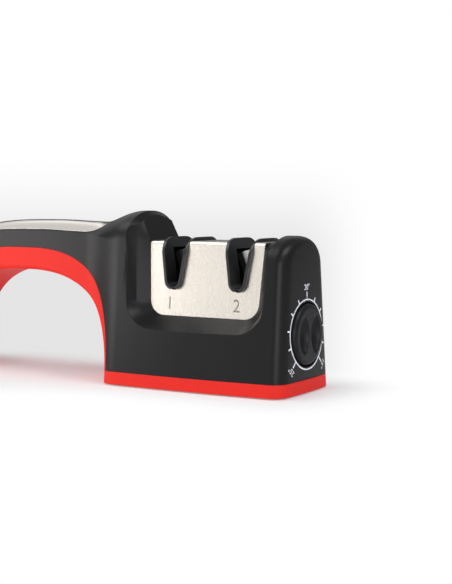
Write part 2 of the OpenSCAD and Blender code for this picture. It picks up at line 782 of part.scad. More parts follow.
// Finger dimple: a lemon shape standing upright
dimple_r = (pow(dimple_len/2, 2) + pow(dimple_half, 2))/(2*dimple_half);
module dimple() {
    rotate_extrude()
        intersection() {
            translate([dimple_half - dimple_r, 0])
                circle(r = dimple_r, $fn = 96);
            translate([0, -far/2])
                square([far, far]);
        }
}
module knob() {
    r = knob_d/2;
    color(black)
        difference() {
            translate([knob_back, 0, knob_z])
                rotate([0, 90, 0])
                    rotate_extrude($fn = 96) {
                        square([r - knob_edge, knob_t]);
                        square([r, knob_t - knob_edge]);
                        translate([r - knob_edge, knob_t - knob_edge])
                            circle(r = knob_edge);
                    }
            for (s = [-1, 1])
                translate([knob_face + dimple_out, s*dimple_y, knob_z])
                    dimple();
            difference() {
                x_cylinder(shaft_r + seat_gap, knob_back - 1, spindle_end + seat_gap);
                translate([knob_back - 2, -far/2, knob_z + shaft_r - flat_depth + seat_gap])
                    cube([far, far, far]);
            }
        }
}

// Bracket that stands on the tray and carries the spindle in open cradles
carrier_half = 10;
carrier_t = 2.4;
uprights = [slot_1 - drum_len/2 - upright_t - 0.5, x_between - upright_t/2, slot_2 + drum_len/2 + 0.5];
module spindle_carrier() {
    z0 = tray_floor + seat_gap;
    lip = 1.9;
    color(nylon)
        difference() {
            union() {
                translate([uprights[0] - 1, -carrier_half, z0])
                    cube([uprights[2] - uprights[0] + upright_t + 2, 2*carrier_half, carrier_t]);
                for (x = uprights)
                    along_x(x, x + upright_t)
                        polygon([[-8.5, z0], [8.5, z0], [5.6, knob_z + lip], [-5.6, knob_z + lip]]);
                for (p = carrier_points)
                    translate([p[0], p[1], z0])
                        cylinder(d = 6, h = carrier_boss);
            }
            x_cylinder(shaft_r + run_gap, 0, far);
            translate([0, -shaft_r + 0.5, knob_z])
                cube([far, 2*shaft_r - 1, far]);
            for (p = carrier_points)
                translate([p[0], p[1], 0])
                    cylinder(d = screw_d + 2*seat_gap, h = tray_floor + carrier_boss + screw_tip);
        }
}

// Rear lever of a stage: hub, arm with a ball for the cam, and a cradle for its rod
cradle_back = 0.8;
module lever() {
    foot = -ball_drop + 3.2;
    translate([0, rod_y, pivot_z])
        difference() {
            union() {
                through_y(lever_t) {
                    circle(r = hub_r);
                    polygon([[-3, -2], [3, 1.6], [ball_x + 2, foot], [ball_x - 2, foot]]);
                    rotate(rod_angle)
                        translate([-rod_d/2 - cradle_back, 0])
                            square([rod_d/2 + cradle_back - 0.3, rod_start + rod_len]);
                }
                translate([ball_x, 0, -ball_drop])
                    cylinder(d = neck_d, h = ball_drop + foot + 0.5);
                translate([ball_x, 0, -ball_drop])
                    sphere(d = ball_d);
            }
            rotate([90, 0, 0])
                cylinder(d = pin_d + 2*run_gap, h = far, center = true);
            rotate([0, -rod_angle, 0])
                translate([0, 0, rod_start - seat_gap])
                    cylinder(d = rod_d + 2*seat_gap, h = far);
        }
}
module rod() {
    translate([0, rod_y, pivot_z])
        rotate([0, -rod_angle, 0])
            translate([0, 0, rod_start])
                cylinder(d = rod_d, h = rod_len);
}
module at_stage(s, turn) {
    translate([s, 0, 0])
        rotate([0, 0, turn])
            children();
}
module lever_1_front() { color(nylon) at_stage(slot_1, 180) lever(); }
module lever_1_rear() { color(nylon) at_stage(slot_1, 0) lever(); }
module lever_2_front() { color(nylon) at_stage(slot_2, 180) lever(); }
module lever_2_rear() { color(nylon) at_stage(slot_2, 0) lever(); }
module coarse_rod_front() { color(grit) at_stage(slot_1, 180) rod(); }
module coarse_rod_rear() { color(grit) at_stage(slot_1, 0) rod(); }
module fine_rod_front() { color(ceramic) at_stage(slot_2, 180) rod(); }
module fine_rod_rear() { color(ceramic) at_stage(slot_2, 0) rod(); }

module pin(s) {
    color(steel)
        translate([s, 0, pivot_z])
            rotate([90, 0, 0])
                cylinder(d = pin_d, h = 2*pin_half, center = true);
}
module pivot_pin_1() { pin(slot_1); }
module pivot_pin_2() { pin(slot_2); }

module base_screws() {
    color(steel)
        for (p = base_points)
            translate([p[0], p[1], pad_top + head_h + seat_gap])
                screw(base_screw_len);
}
module carrier_screws() {
    color(steel)
        for (p = carrier_points)
            translate([p[0], p[1], pad_top + head_h + seat_gap])
                screw(carrier_screw_len);
}
module tail_screws() {
    color(steel)
        for (p = tail_points)
            translate([p[0], p[1], pad_top + head_h + seat_gap])
                screw(tail_screw_len - head_h);
}
module guide_screws() {
    color(steel)
        for (p = guide_points)
            translate([p[0], p[1], cavity_top])
                screw(guide_screw_len);
}

module base_pad() {
    color(rubber)
        linear_extrude(height = pad_t)
            head_plan(0, pad_margin);
}
module tail_pad() {
    color(rubber)
        linear_extrude(height = pad_t)
            tail_plan(0, pad_margin);
}

housing();
base_tray();
grip_underside();
handle_inlay();
steel_cover();
slot_guide();
spindle_carrier();
cam_spindle();
spindle_clip();
spring_washer();
knob();
lever_1_front();
lever_1_rear();
lever_2_front();
lever_2_rear();
coarse_rod_front();
coarse_rod_rear();
fine_rod_front();
fine_rod_rear();
pivot_pin_1();
pivot_pin_2();
base_screws();
carrier_screws();
tail_screws();
guide_screws();
base_pad();
tail_pad();
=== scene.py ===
"""Dressed model of a two-stage manual knife sharpener with an angle knob on its end.

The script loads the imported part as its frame, rebuilds the visible mouldings, sheet steel and print as
fine meshes on the same formulas as the part's source, gives every other node its finish, and sets up a
pale studio with a camera at the photograph's viewing angle. Shapes are worked out in millimetres and
become metres when a mesh is made.
"""

import logging
import math
from dataclasses import dataclass
from enum import Enum
from typing import Callable, Iterable, Sequence

import bmesh
import bpy
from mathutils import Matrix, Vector


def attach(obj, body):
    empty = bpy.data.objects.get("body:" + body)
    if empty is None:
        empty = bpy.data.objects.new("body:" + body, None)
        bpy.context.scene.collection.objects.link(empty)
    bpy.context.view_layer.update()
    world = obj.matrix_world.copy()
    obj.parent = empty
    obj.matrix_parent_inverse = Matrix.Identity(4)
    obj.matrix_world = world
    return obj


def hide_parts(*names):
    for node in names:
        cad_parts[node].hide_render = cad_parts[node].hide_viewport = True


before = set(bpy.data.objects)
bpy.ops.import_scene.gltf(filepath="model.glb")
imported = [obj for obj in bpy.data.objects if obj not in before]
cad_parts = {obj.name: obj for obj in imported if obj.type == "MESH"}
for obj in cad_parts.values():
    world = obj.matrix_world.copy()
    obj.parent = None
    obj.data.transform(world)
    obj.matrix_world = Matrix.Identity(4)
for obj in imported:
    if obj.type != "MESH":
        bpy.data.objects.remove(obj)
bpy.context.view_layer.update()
LOG = logging.getLogger("sharpener")

# Metres in a millimetre, a length past every outline, and the distances in metres at which corners merge
MM = 0.001
FAR = 200.0
MERGE = 1e-7
FINE_MERGE = 1e-8

# The steps of each curve in a numeral, and the samples behind the look of a rounded edge
TEXT_STEPS = 6
BEVEL_SAMPLES = 6

Point2 = tuple[float, float]
Point3 = tuple[float, float, float]
Ring = list[Point3]
Colour = tuple[float, float, float]

# Up, an even stretch, and the steps in which the knob end closes towards its middle
UP = Vector((0.0, 0.0, 1.0))
EVEN: Point3 = (1.0, 1.0, 1.0)
END_SHARES = (0.85, 0.7, 0.55, 0.4, 0.25, 0.1)


class Body(Enum):
    """The bodies of the part that a piece can ride on."""

    CASE = "body"
    KNOB = "knob_assembly"


class Slot(Enum):
    """The record's material slots."""

    BLACK = "black_plastic"
    RED = "red_plastic"
    STEEL = "brushed_steel"
    KNOB = "knob_plastic"


class Grain(Enum):
    """The direction in which a steel sheet is brushed."""

    UPRIGHT = (1.0, 1.0, 0.02)
    LENGTHWISE = (0.02, 1.0, 1.0)


def mix(a: float, b: float, t: float) -> float:
    """Returns the value at t on the way from a to b."""
    return a + (b - a) * t


def ease(a: float, b: float, x: float) -> float:
    """Returns 0 before a and 1 after b, with a smooth rise between them."""
    t = max(0.0, min(1.0, (x - a) / (b - a)))
    return t * t * (3 - 2 * t)


def spread(a: float, b: float, count: int) -> list[float]:
    """Returns count + 1 evenly spaced values from a to b."""
    return [mix(a, b, i / count) for i in range(count + 1)]


def quarter_turn(count: int) -> list[float]:
    """Returns count + 1 angles from 0 to a right angle, in radians."""
    return spread(0.0, math.pi / 2, count)


def metres(values: Iterable[float]) -> tuple[float, ...]:
    """Returns millimetres as metres."""
    return tuple(MM * v for v in values)


def sines(angles: Iterable[float]) -> tuple[float, ...]:
    """Returns the sines of angles in degrees."""
    return tuple(math.sin(math.radians(v)) for v in angles)


# Mesh tools


def new_object(name: str, data: bpy.types.ID) -> bpy.types.Object:
    """Adds an object with the given data to the scene."""
    thing = bpy.data.objects.new(name, data)
    bpy.context.scene.collection.objects.link(thing)
    return thing


def plain_mesh(thing: bpy.types.Object) -> bpy.types.Mesh:
    """Returns an object's shape, with its modifiers applied, as a new mesh."""
    graph = bpy.context.evaluated_depsgraph_get()
    return bpy.data.meshes.new_from_object(thing.evaluated_get(graph), depsgraph=graph)


def repair_mesh(mesh: bpy.types.Mesh, merge: float, thin: bool = False) -> None:
    """Merges doubled corners and turns all faces outwards.

    Args:
        mesh: The mesh.
        merge: The distance in metres within which corners become one.
        thin: Whether faces without an area are taken out too.
    """
    work = bmesh.new()
    work.from_mesh(mesh)
    bmesh.ops.remove_doubles(work, verts=work.verts, dist=merge)
    if thin:
        bmesh.ops.dissolve_degenerate(work, edges=work.edges, dist=merge)
    bmesh.ops.recalc_face_normals(work, faces=work.faces)
    work.to_mesh(mesh)
    work.free()


def make_piece(name: str, points: Iterable[Point3], faces: Sequence[Sequence[int]]) -> bpy.types.Object:
    """Makes a closed mesh object at the origin with its faces pointing outwards.

    Args:
        name: The piece's name.
        points: Corners in millimetres.
        faces: Corner numbers of each face.

    Returns:
        The new object.
    """
    mesh = bpy.data.meshes.new(name)
    mesh.from_pydata([metres(p) for p in points], [], faces)
    repair_mesh(mesh, MERGE, thin=True)
    return new_object(name, mesh)


def loft(name: str, rings: Sequence[Ring]) -> bpy.types.Object:
    """Makes a closed skin over rings of equal length.

    Args:
        name: The piece's name.
        rings: Closed rings in order along the piece.

    Returns:
        The new object.
    """
    n = len(rings[0])
    faces: list[list[int]] = []
    for j in range(len(rings) - 1):
        for i in range(n):
            k = (i + 1) % n
            faces.append([j * n + i, j * n + k, (j + 1) * n + k, (j + 1) * n + i])
    faces.append(list(range(n)))
    faces.append([(len(rings) - 1) * n + i for i in range(n)])
    return make_piece(name, [p for ring in rings for p in ring], faces)


def prism_y(name: str, outline: Sequence[Point2], half: float = FAR / 2) -> bpy.types.Object:
    """Pushes a side-view outline in X and Z through the depth of the part."""
    return loft(name, [[(x, y, z) for x, z in outline] for y in (-half, half)])


def prism_x(name: str, outline: Sequence[Point2], start: float, end: float) -> bpy.types.Object:
    """Pushes a cross-section in Y and Z along the part from start to end."""
    return loft(name, [[(x, y, z) for y, z in outline] for x in (start, end)])


def prism_z(name: str, outline: Sequence[Point2], low: float, high: float) -> bpy.types.Object:
    """Pushes a plan in X and Y up from low to high."""
    return loft(name, [[(x, y, z) for x, y in outline] for z in (low, high)])


def block(name: str, low: Point3, high: Point3) -> bpy.types.Object:
    """Makes a box between two corners."""
    plan = [(low[0], low[1]), (high[0], low[1]), (high[0], high[1]), (low[0], high[1])]
    return prism_z(name, plan, low[2], high[2])


def circle(radius: float, count: int) -> list[Point2]:
    """Returns the corners of a regular polygon about the origin."""
    turns = [2 * math.pi * i / count for i in range(count)]
    return [(radius * math.cos(t), radius * math.sin(t)) for t in turns]


def both_sides(side: Sequence[tuple[float, ...]], across: int) -> list[tuple[float, ...]]:
    """Returns one side of an outline and then its mirror image, which runs back to the start.

    Args:
        side: The points of the side.
        across: Which of a point's values changes its sign.

    Returns:
        The closed outline.
    """
    return [*side, *(tuple(-v if i == across else v for i, v in enumerate(p)) for p in reversed(side))]


def to_ground(arch: list[Point2]) -> list[Point2]:
    """Returns an arch's outline with both of its feet drawn far down."""
    return [(arch[0][0], -FAR), *arch, (arch[-1][0], -FAR)]


def drop(piece: bpy.types.Object) -> None:
    """Removes a helper object and its mesh."""
    mesh = piece.data
    bpy.data.objects.remove(piece)
    bpy.data.meshes.remove(mesh)


def settle(piece: bpy.types.Object) -> None:
    """Turns a piece with live modifiers into a plain mesh."""
    solid = plain_mesh(piece)
    piece.modifiers.clear()
    old = piece.data
    piece.data = solid
    solid.name = piece.name
    bpy.data.meshes.remove(old)


def combine(piece: bpy.types.Object, operation: str, tools: Sequence[bpy.types.Object]) -> bpy.types.Object:
    """Cuts, clips or joins a piece with helper solids, which are used up.

    Args:
        piece: The piece that is changed.
        operation: DIFFERENCE, INTERSECT or UNION.
        tools: The helper solids.

    Returns:
        The same piece, as a plain mesh.
    """
    for tool in tools:
        step = piece.modifiers.new(tool.name, "BOOLEAN")
        step.operation = operation
        step.solver = "EXACT"
        step.object = tool
    settle(piece)
    for tool in tools:
        drop(tool)
    return piece


def soften(piece: bpy.types.Object, angle: float = 28.0) -> bpy.types.Object:
    """Shades a piece smooth, apart from edges sharper than the angle in degrees."""
    piece.data.shade_smooth()
    piece.data.set_sharp_from_angle(angle=math.radians(angle))
    return piece


def append_mesh(piece: bpy.types.Object, other: bpy.types.Object) -> None:
    """Adds another piece's mesh to a piece and removes the other piece."""
    work = bmesh.new()
    work.from_mesh(piece.data)
    work.from_mesh(other.data)
    work.to_mesh(piece.data)
    work.free()
    drop(other)


def text_piece(name: str, text: str, height: float, thick: float) -> bpy.types.Object:
    """Makes plain numerals as a thin solid at the origin.

    Args:
        name: The piece's name.
        text: The numerals.
        height: Their height in millimetres.
        thick: How far they reach to either side of their plane, in millimetres.

    Returns:
        The solid, with its middle foot at the origin, reading along X and standing along Y.
    """
    curve = bpy.data.curves.new(name, "FONT")
    curve.body = text
    curve.size = 1.0
    curve.extrude = 0.5
    curve.resolution_u = TEXT_STEPS
    flat = new_object(name + "_curve", curve)
    mesh = plain_mesh(flat)
    mesh.name = name
    bpy.data.objects.remove(flat)
    bpy.data.curves.remove(curve)
    left, foot = (min(v.co[i] for v in mesh.vertices) for i in (0, 1))
    right, head = (max(v.co[i] for v in mesh.vertices) for i in (0, 1))
    scale = height / (head - foot)
    middle = (left + right) / 2
    for v in mesh.vertices:
        x, y, z = v.co
        v.co = Vector(((x - middle) * scale, (y - foot) * scale, 2 * thick * z)) * MM
    repair_mesh(mesh, FINE_MERGE)
    return new_object(name, mesh)


# Finishes


class NodeKit:
    """A node tree under construction, with short ways to add and link its nodes."""

    def __init__(self, tree: bpy.types.NodeTree) -> None:
        """Takes the tree that is built up."""
        self.nodes = tree.nodes
        self.links = tree.links

    def add(self, kind: str, **options: object) -> bpy.types.Node:
        """Adds a node and sets its own options."""
        node = self.nodes.new(kind)
        for key, value in options.items():
            setattr(node, key, value)
        return node

    def feed(self, socket: bpy.types.NodeSocket, value: object) -> None:
        """Links another node's output to a socket, or sets the socket to a constant."""
        if isinstance(value, bpy.types.NodeSocket):
            self.links.new(value, socket)
        else:
            socket.default_value = value

    def wired(self, kind: str, values: dict[str, object], **options: object) -> bpy.types.NodeSocket:
        """Adds a node, feeds its inputs by their names and returns its first output."""
        node = self.add(kind, **options)
        for name, value in values.items():
            self.feed(node.inputs[name], value)
        return node.outputs[0]

    def calc(self, operation: str, a: object, b: object) -> bpy.types.NodeSocket:
        """Returns one sum of two sockets or constants."""
        node = self.add("ShaderNodeMath", operation=operation)
        self.feed(node.inputs[0], a)
        self.feed(node.inputs[1], b)
        return node.outputs[0]

    def vector(self, operation: str, a: object, b: object = (0.0, 0.0, 0.0)) -> bpy.types.NodeOutputs:
        """Adds one sum of vectors and returns its outputs."""
        node = self.add("ShaderNodeVectorMath", operation=operation)
        self.feed(node.inputs[0], a)
        self.feed(node.inputs[1], b)
        return node.outputs

    def between(self, value: bpy.types.NodeSocket, low: float, high: float) -> bpy.types.NodeSocket:
        """Returns a 0 to 1 value mapped to the range from low to high."""
        return self.wired("ShaderNodeMapRange", {"Value": value, "To Min": low, "To Max": high})

    def rise(self, value: bpy.types.NodeSocket, ends: Point2) -> bpy.types.NodeSocket:
        """Returns a smooth rise from 0 at the first of two values to 1 at the second."""
        inputs = {"Value": value, "From Min": ends[0], "From Max": ends[1]}
        return self.wired("ShaderNodeMapRange", inputs, interpolation_type="SMOOTHSTEP")

    def share(self, way: bpy.types.NodeSocket, axis: Vector) -> bpy.types.NodeSocket:
        """Returns how far a direction points along an axis, from -1 to 1."""
        plain = self.vector("NORMALIZE", way)[0]
        return self.vector("DOT_PRODUCT", plain, axis.normalized())["Value"]


class Shader(NodeKit):
    """A material under construction."""

    def __init__(self, name: str) -> None:
        """Starts a material with one surface shader."""
        self.material = bpy.data.materials.new(name)
        self.material.use_nodes = True
        super().__init__(self.material.node_tree)
        self.surface = self.nodes["Principled BSDF"]

    def give(self, values: dict[str, object]) -> None:
        """Feeds the surface's own sockets by their names."""
        for name, value in values.items():
            self.feed(self.surface.inputs[name], value)

    def place(self, stretch: Point3) -> bpy.types.NodeSocket:
        """Returns the piece's own coordinates, stretched along the axes."""
        where = self.add("ShaderNodeTexCoord").outputs["Object"]
        return self.wired("ShaderNodeMapping", {"Vector": where, "Scale": stretch})

    def noise(self, place: bpy.types.NodeSocket, scale: float, detail: float) -> bpy.types.NodeSocket:
        """Returns a noise value between 0 and 1 at the given place."""
        node = self.add("ShaderNodeTexNoise")
        for name, value in {"Vector": place, "Scale": scale, "Detail": detail}.items():
            self.feed(node.inputs[name], value)
        return node.outputs["Fac"]

    def shade(self, value: bpy.types.NodeSocket, dark: Colour, light: Colour) -> bpy.types.NodeSocket:
        """Returns a colour between dark and light."""
        node = self.add("ShaderNodeMix", data_type="RGBA")
        ends = {"A_Color": dark, "B_Color": light}
        for socket in node.inputs:
            if socket.identifier in ends:
                socket.default_value = (*ends[socket.identifier], 1.0)
        self.feed(node.inputs["Factor"], value)
        return next(s for s in node.outputs if s.identifier == "Result_Color")

    def mottled(self, value: bpy.types.NodeSocket, colour: Colour, play: float) -> bpy.types.NodeSocket:
        """Returns a colour that gets a little darker and lighter with a value."""
        return self.shade(value, toned(colour, 1 - play), toned(colour, 1 + play))

    def relief(self, value: bpy.types.NodeSocket, depth: float, edge: float) -> None:
        """Gives the surface a fine texture of the depth and a rounded look at its edges, in millimetres."""
        inputs = {"Height": value, "Distance": depth * MM}
        if edge > 0:
            inputs["Normal"] = self.wired("ShaderNodeBevel", {"Radius": edge * MM}, samples=BEVEL_SAMPLES)
        self.give({"Normal": self.wired("ShaderNodeBump", inputs)})


def toned(colour: Colour, factor: float) -> Colour:
    """Returns a colour made darker or lighter by a factor."""
    return tuple(min(1.0, c * factor) for c in colour)


@dataclass(frozen=True)
class Moulding:
    """A moulded plastic, rubber or ceramic finish with a fine grain."""

    name: str
    colour: Colour
    roughness: float
    grain_scale: float = 2600.0
    grain_depth: float = 0.012
    mottle: float = 0.06
    edge: float = 0.3
    specular: float = 0.5
    cloud_scale: float = 60.0
    rough_play: float = 0.04

    def material(self) -> bpy.types.Material:
        """Returns the finish as a material."""
        s = Shader(self.name)
        grain = s.noise(s.place(EVEN), self.grain_scale, 2.0)
        cloud = s.noise(s.place(EVEN), self.cloud_scale, 3.0)
        low, high = self.roughness - self.rough_play, self.roughness + self.rough_play
        s.give({"Base Color": s.mottled(cloud, self.colour, self.mottle)})
        s.give({"Roughness": s.between(grain, low, high), "Specular IOR Level": self.specular})
        s.relief(grain, self.grain_depth, self.edge)
        return s.material


@dataclass(frozen=True)
class BrushedSheet:
    """Sheet steel with fine parallel scratches."""

    name: str
    colour: Colour
    roughness: float
    grain: Grain
    streak: float = 0.05
    edge: float = 0.25
    fine_scale: float = 5200.0
    wide_scale: float = 900.0
    rough_play: float = 0.06
    scratch_depth: float = 0.006

    def material(self) -> bpy.types.Material:
        """Returns the finish as a material."""
        s = Shader(self.name)
        along = s.place(self.grain.value)
        fine = s.noise(along, self.fine_scale, 4.0)
        wide = s.noise(along, self.wide_scale, 3.0)
        low, high = self.roughness - self.rough_play, self.roughness + self.rough_play
        s.give({"Base Color": s.mottled(wide, self.colour, self.streak)})
        s.give({"Roughness": s.between(fine, low, high), "Metallic": 1.0})
        s.relief(fine, self.scratch_depth, self.edge)
        return s.material


@dataclass(frozen=True)
class Grit:
    """An abrasive coating of small hard grains."""

    name: str
    dark: Colour
    light: Colour
    grain_scale: float
    grain_depth: float
    metal: float = 0.6
    roughness: float = 0.45

    def material(self) -> bpy.types.Material:
        """Returns the finish as a material."""
        s = Shader(self.name)
        cells = s.add("ShaderNodeTexVoronoi")
        s.feed(cells.inputs["Scale"], self.grain_scale)
        s.feed(cells.inputs["Vector"], s.place(EVEN))
        s.give({"Base Color": s.shade(cells.outputs["Color"], self.dark, self.light)})
        s.give({"Metallic": self.metal, "Roughness": self.roughness})
        s.relief(cells.outputs["Distance"], self.grain_depth, 0.0)
        return s.material


class Finishes:
    """The finishes of the whole part, made once each."""

    def __init__(self) -> None:
        """Makes every material."""
        self.black = Moulding("satin_black", (0.007, 0.0066, 0.0068), 0.38, specular=0.24).material()
        self.rim = Moulding("rim_black", (0.009, 0.009, 0.0095), 0.3, edge=0.4, specular=0.45).material()
        self.knob = Moulding("knob_black", (0.007, 0.007, 0.008), 0.4, specular=0.24).material()
        red = (0.78, 0.028, 0.020)
        self.red = Moulding("satin_red", red, 0.5, mottle=0.03, edge=0.35, specular=0.12).material()
        self.cover = BrushedSheet("cover_steel", (0.80, 0.745, 0.68), 0.27, Grain.UPRIGHT).material()
        self.inlay = BrushedSheet("inlay_steel", (0.76, 0.725, 0.68), 0.18, Grain.LENGTHWISE).material()
        self.etched = BrushedSheet("etched_steel", (0.30, 0.28, 0.26), 0.5, Grain.UPRIGHT).material()
        self.hardware = BrushedSheet("plain_steel", (0.66, 0.66, 0.65), 0.36, Grain.UPRIGHT).material()
        self.nylon = Moulding("grey_nylon", (0.36, 0.36, 0.34), 0.5).material()
        self.lever = Moulding("dark_nylon", (0.02, 0.02, 0.021), 0.5).material()
        self.rubber = Moulding("black_rubber", (0.018, 0.018, 0.018), 0.72, 1400.0, 0.03).material()
        self.ceramic = Moulding("white_ceramic", (0.86, 0.84, 0.79), 0.3, mottle=0.02, edge=0.3).material()
        self.print = Moulding("white_print", (0.88, 0.90, 0.95), 0.5, mottle=0.02, edge=0.0).material()
        self.coarse = Grit("coarse_grit", (0.03, 0.03, 0.033), (0.14, 0.14, 0.15), 3800.0, 0.08).material()


NODES_OF_FINISH: dict[str, tuple[str, ...]] = {
    "nylon": ("spindle_carrier", "cam_spindle"),
    "lever": ("lever_1_front", "lever_1_rear", "lever_2_front", "lever_2_rear"),
    "coarse": ("coarse_rod_front", "coarse_rod_rear"),
    "ceramic": ("fine_rod_front", "fine_rod_rear"),
    "hardware": (
        "spindle_clip",
        "spring_washer",
        "pivot_pin_1",
        "pivot_pin_2",
        "base_screws",
        "carrier_screws",
        "tail_screws",
        "guide_screws",
    ),
    "rubber": ("base_pad", "tail_pad"),
}


def dress_nodes(finishes: Finishes) -> None:
    """Gives every node that stays in view its finish."""
    for finish, nodes in NODES_OF_FINISH.items():
        for node in nodes:
            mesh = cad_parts[node].data
            mesh.materials.clear()
            mesh.materials.append(getattr(finishes, finish))
            LOG.info("node %s: %s", node, finish)


def finish_piece(
    piece: bpy.types.Object, material: bpy.types.Material, body: Body, slot: Slot, *nodes: str
) -> bpy.types.Object:
    """Dresses a new piece and hands it to the frame.

    Args:
        piece: The piece.
        material: Its finish.
        body: The body it moves with.
        slot: The record's slot for the piece; not used.
        nodes: The nodes it stands for.

    Returns:
        The same piece.
    """
    piece.data.materials.clear()
    piece.data.materials.append(material)
    for face in piece.data.polygons:
        face.material_index = 0
    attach(piece, body.value)
    if nodes:
        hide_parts(*nodes)
    LOG.info("piece %s: %d faces", piece.name, len(piece.data.polygons))
    return piece


# The shared outline of the mouldings


@dataclass(frozen=True)
class BodyShape:
    """The outline of head, handle and tail in millimetres, by the same rules as the part's source."""

    total_len: float = 211.6
    base_depth: float = 50.0
    head_len: float = 87.5
    side_draft: float = 0.09
    end_lean: float = 0.02
    side_bow: float = 1.5
    wide_inset: float = 60.0
    end_bow: float = 1.3
    corner_r: float = 6.2
    hump_h: float = 74.3
    post_h: float = 64.5
    top_drop: float = 12.3
    wall: float = 2.5
    handle_h: float = 70.0
    handle_w: float = 30.0
    crown_h: float = 4.6
    crown_dip: float = 0.8
    ridge_half: float = 0.6
    arch_h: float = 47.6
    arch_right: float = 50.5
    arch_n: float = 2.55
    seam_n: float = 2.85
    grip_t: float = 10.0
    grip_foot_t: float = 1.5
    tail_strip_t: float = 4.0
    tail_len: float = 24.0
    tail_r: float = 8.0
    tail_n: float = 3.1
    crest_ahead: float = 10.0
    band_h: float = 6.0
    tray_z: float = 0.5
    saddle_z: float = 30.3
    saddle_len: float = 53.2
    saddle_inset: float = 15.4
    saddle_flare: float = 0.06
    saddle_r: float = 7.0
    ledge_out: float = 4.5
    ledge_drop: float = 2.7
    lip_w: float = 2.6
    lip_depth: float = 3.9
    lip_top: float = 2.2
    lip_start: float = 45.0
    wall_lean: float = 0.4
    lip_lean: float = 0.13
    post_lip: float = 0.72
    belly: float = 0.05
    foot_corner: float = 1.2
    corner_sink: float = 0.5
    knob_z: float = 24.4
    knob_proud: float = 1.3
    cover_depth: float = 28.5
    cover_h: float = 61.8
    seat_gap: float = 0.05
    slot_inset: float = 25.55
    slot_gap: float = 31.25
    hump_start: float = 13.0
    hump_reach: float = 8.0
    neck_start: float = 15.0
    neck_reach: float = 7.0
    head_reach: float = 4.0
    handle_draft: float = 0.4
    crown_limit: float = 0.45
    tail_turn: float = 88.0
    tail_pack: float = 1.5
    saddle_over: float = 4.0
    least_corner: float = 0.5
    least_foot: float = 0.1
    tail_steps: int = 44
    handle_steps: int = 64
    head_steps: int = 24
    side_steps: int = 8
    crown_steps: int = 18
    corner_steps: int = 14
    plan_steps: int = 36
    foot_steps: int = 5
    arch_steps: int = 150
    curve_steps: int = 16
    wall_steps: int = 5
    ledge_steps: int = 5

    @property
    def x_end(self) -> float:
        """The knob end of the base."""
        return self.total_len / 2 - self.knob_proud + self.end_lean * self.knob_z

    @property
    def x_corner(self) -> float:
        """Where the sides start to turn into the knob end."""
        return self.x_end - self.corner_r

    @property
    def x_tail(self) -> float:
        """The end of the tail."""
        return -self.total_len / 2

    @property
    def x_head(self) -> float:
        """The start of the head."""
        return self.x_end - self.head_len

    @property
    def x_wide(self) -> float:
        """The head's deepest place."""
        return self.x_end - self.wide_inset

    @property
    def arch_x(self) -> float:
        """The middle of the finger opening."""
        return self.x_head - self.arch_right

    @property
    def arch_left(self) -> float:
        """The reach of the finger opening towards the tail."""
        return self.arch_x - (self.x_tail + self.tail_len)

    @property
    def crest_x(self) -> float:
        """The highest place of the handle."""
        return self.arch_x + self.crest_ahead

    @property
    def seam_h(self) -> float:
        """The height of the seam between handle and grip."""
        return self.arch_h + self.grip_t

    @property
    def hump_foot(self) -> float:
        """Where the hump starts to rise out of the handle."""
        return self.x_head - self.hump_start

    @property
    def hump_top(self) -> float:
        """Where the hump reaches its height."""
        return self.x_head + self.hump_reach

    @property
    def saddle_x(self) -> float:
        """The middle of the saddle."""
        return self.x_end - self.saddle_inset - self.saddle_len / 2

    @property
    def saddle_left(self) -> float:
        """The saddle floor's end at the hump."""
        return self.saddle_x - self.saddle_len / 2

    @property
    def saddle_right(self) -> float:
        """The saddle floor's end at the post."""
        return self.saddle_x + self.saddle_len / 2

    @property
    def slots(self) -> Point2:
        """The middles of the two knife slots, the coarse one first."""
        fine = self.x_end - self.slot_inset
        return (fine - self.slot_gap, fine)

    @property
    def wall_foot(self) -> float:
        """The height at which the saddle's end walls become straight."""
        return self.saddle_z + self.saddle_r

    @property
    def lip_left(self) -> float:
        """The lip's outer edge on the hump, at the height of its shoulder."""
        rise = self.hump_h - self.top_drop - self.wall_foot
        return self.saddle_left - self.ledge_out - self.lip_w - self.saddle_flare * rise

    @property
    def lip_right(self) -> float:
        """The lip's outer edge on the post, at the height of its shoulder."""
        rise = self.post_h - self.top_drop - self.wall_foot
        return self.saddle_right + self.post_lip * (self.ledge_out + self.lip_w) + self.saddle_flare * rise

    def lip_sink(self, x: float) -> float:
        """Returns how deep the lip's bevel is over the head's top."""
        part = min(x - self.lip_left, self.lip_right - x) / self.lip_w
        return self.lip_top * max(0.0, min(1.0, part))

    def head_half(self, x: float, z: float) -> float:
        """Returns half the head's depth."""
        bow = self.side_bow * ((x - self.x_wide) / (self.head_len / 2)) ** 2
        return self.base_depth / 2 - bow - self.side_draft * z

    def handle_half(self, x: float, z: float) -> float:
        """Returns half the handle's width, rounded at the tail."""
        d, r = x - self.x_tail, self.tail_r
        turn_in = 0.0 if d >= r else r - math.sqrt(max(0.0, r * r - (r - d) ** 2))
        return self.handle_w / 2 + self.side_draft * (self.seam_h - z) * self.handle_draft - turn_in

    def half(self, x: float, z: float) -> float:
        """Returns half the body's depth at a place along it and a height."""
        t = ease(self.x_head - self.neck_start, self.x_head + self.neck_reach, x)
        return mix(self.handle_half(x, z), self.head_half(x, z), t)

    def top(self, x: float) -> float:
        """Returns the height of the body's ridge, before the saddle is cut."""
        if x < self.crest_x:
            reach = max(0.0, self.crest_x - x) / (self.crest_x - self.x_tail)
            return self.handle_h * max(0.0, 1 - reach**self.tail_n) ** (1 / self.tail_n)
        if x < self.saddle_left:
            low = self.handle_h - self.crown_dip * ease(self.crest_x, self.hump_foot, x)
            return mix(low, self.hump_h, ease(self.hump_foot, self.hump_top, x))
        return mix(self.hump_h, self.post_h, ease(self.saddle_left, self.saddle_right, x))

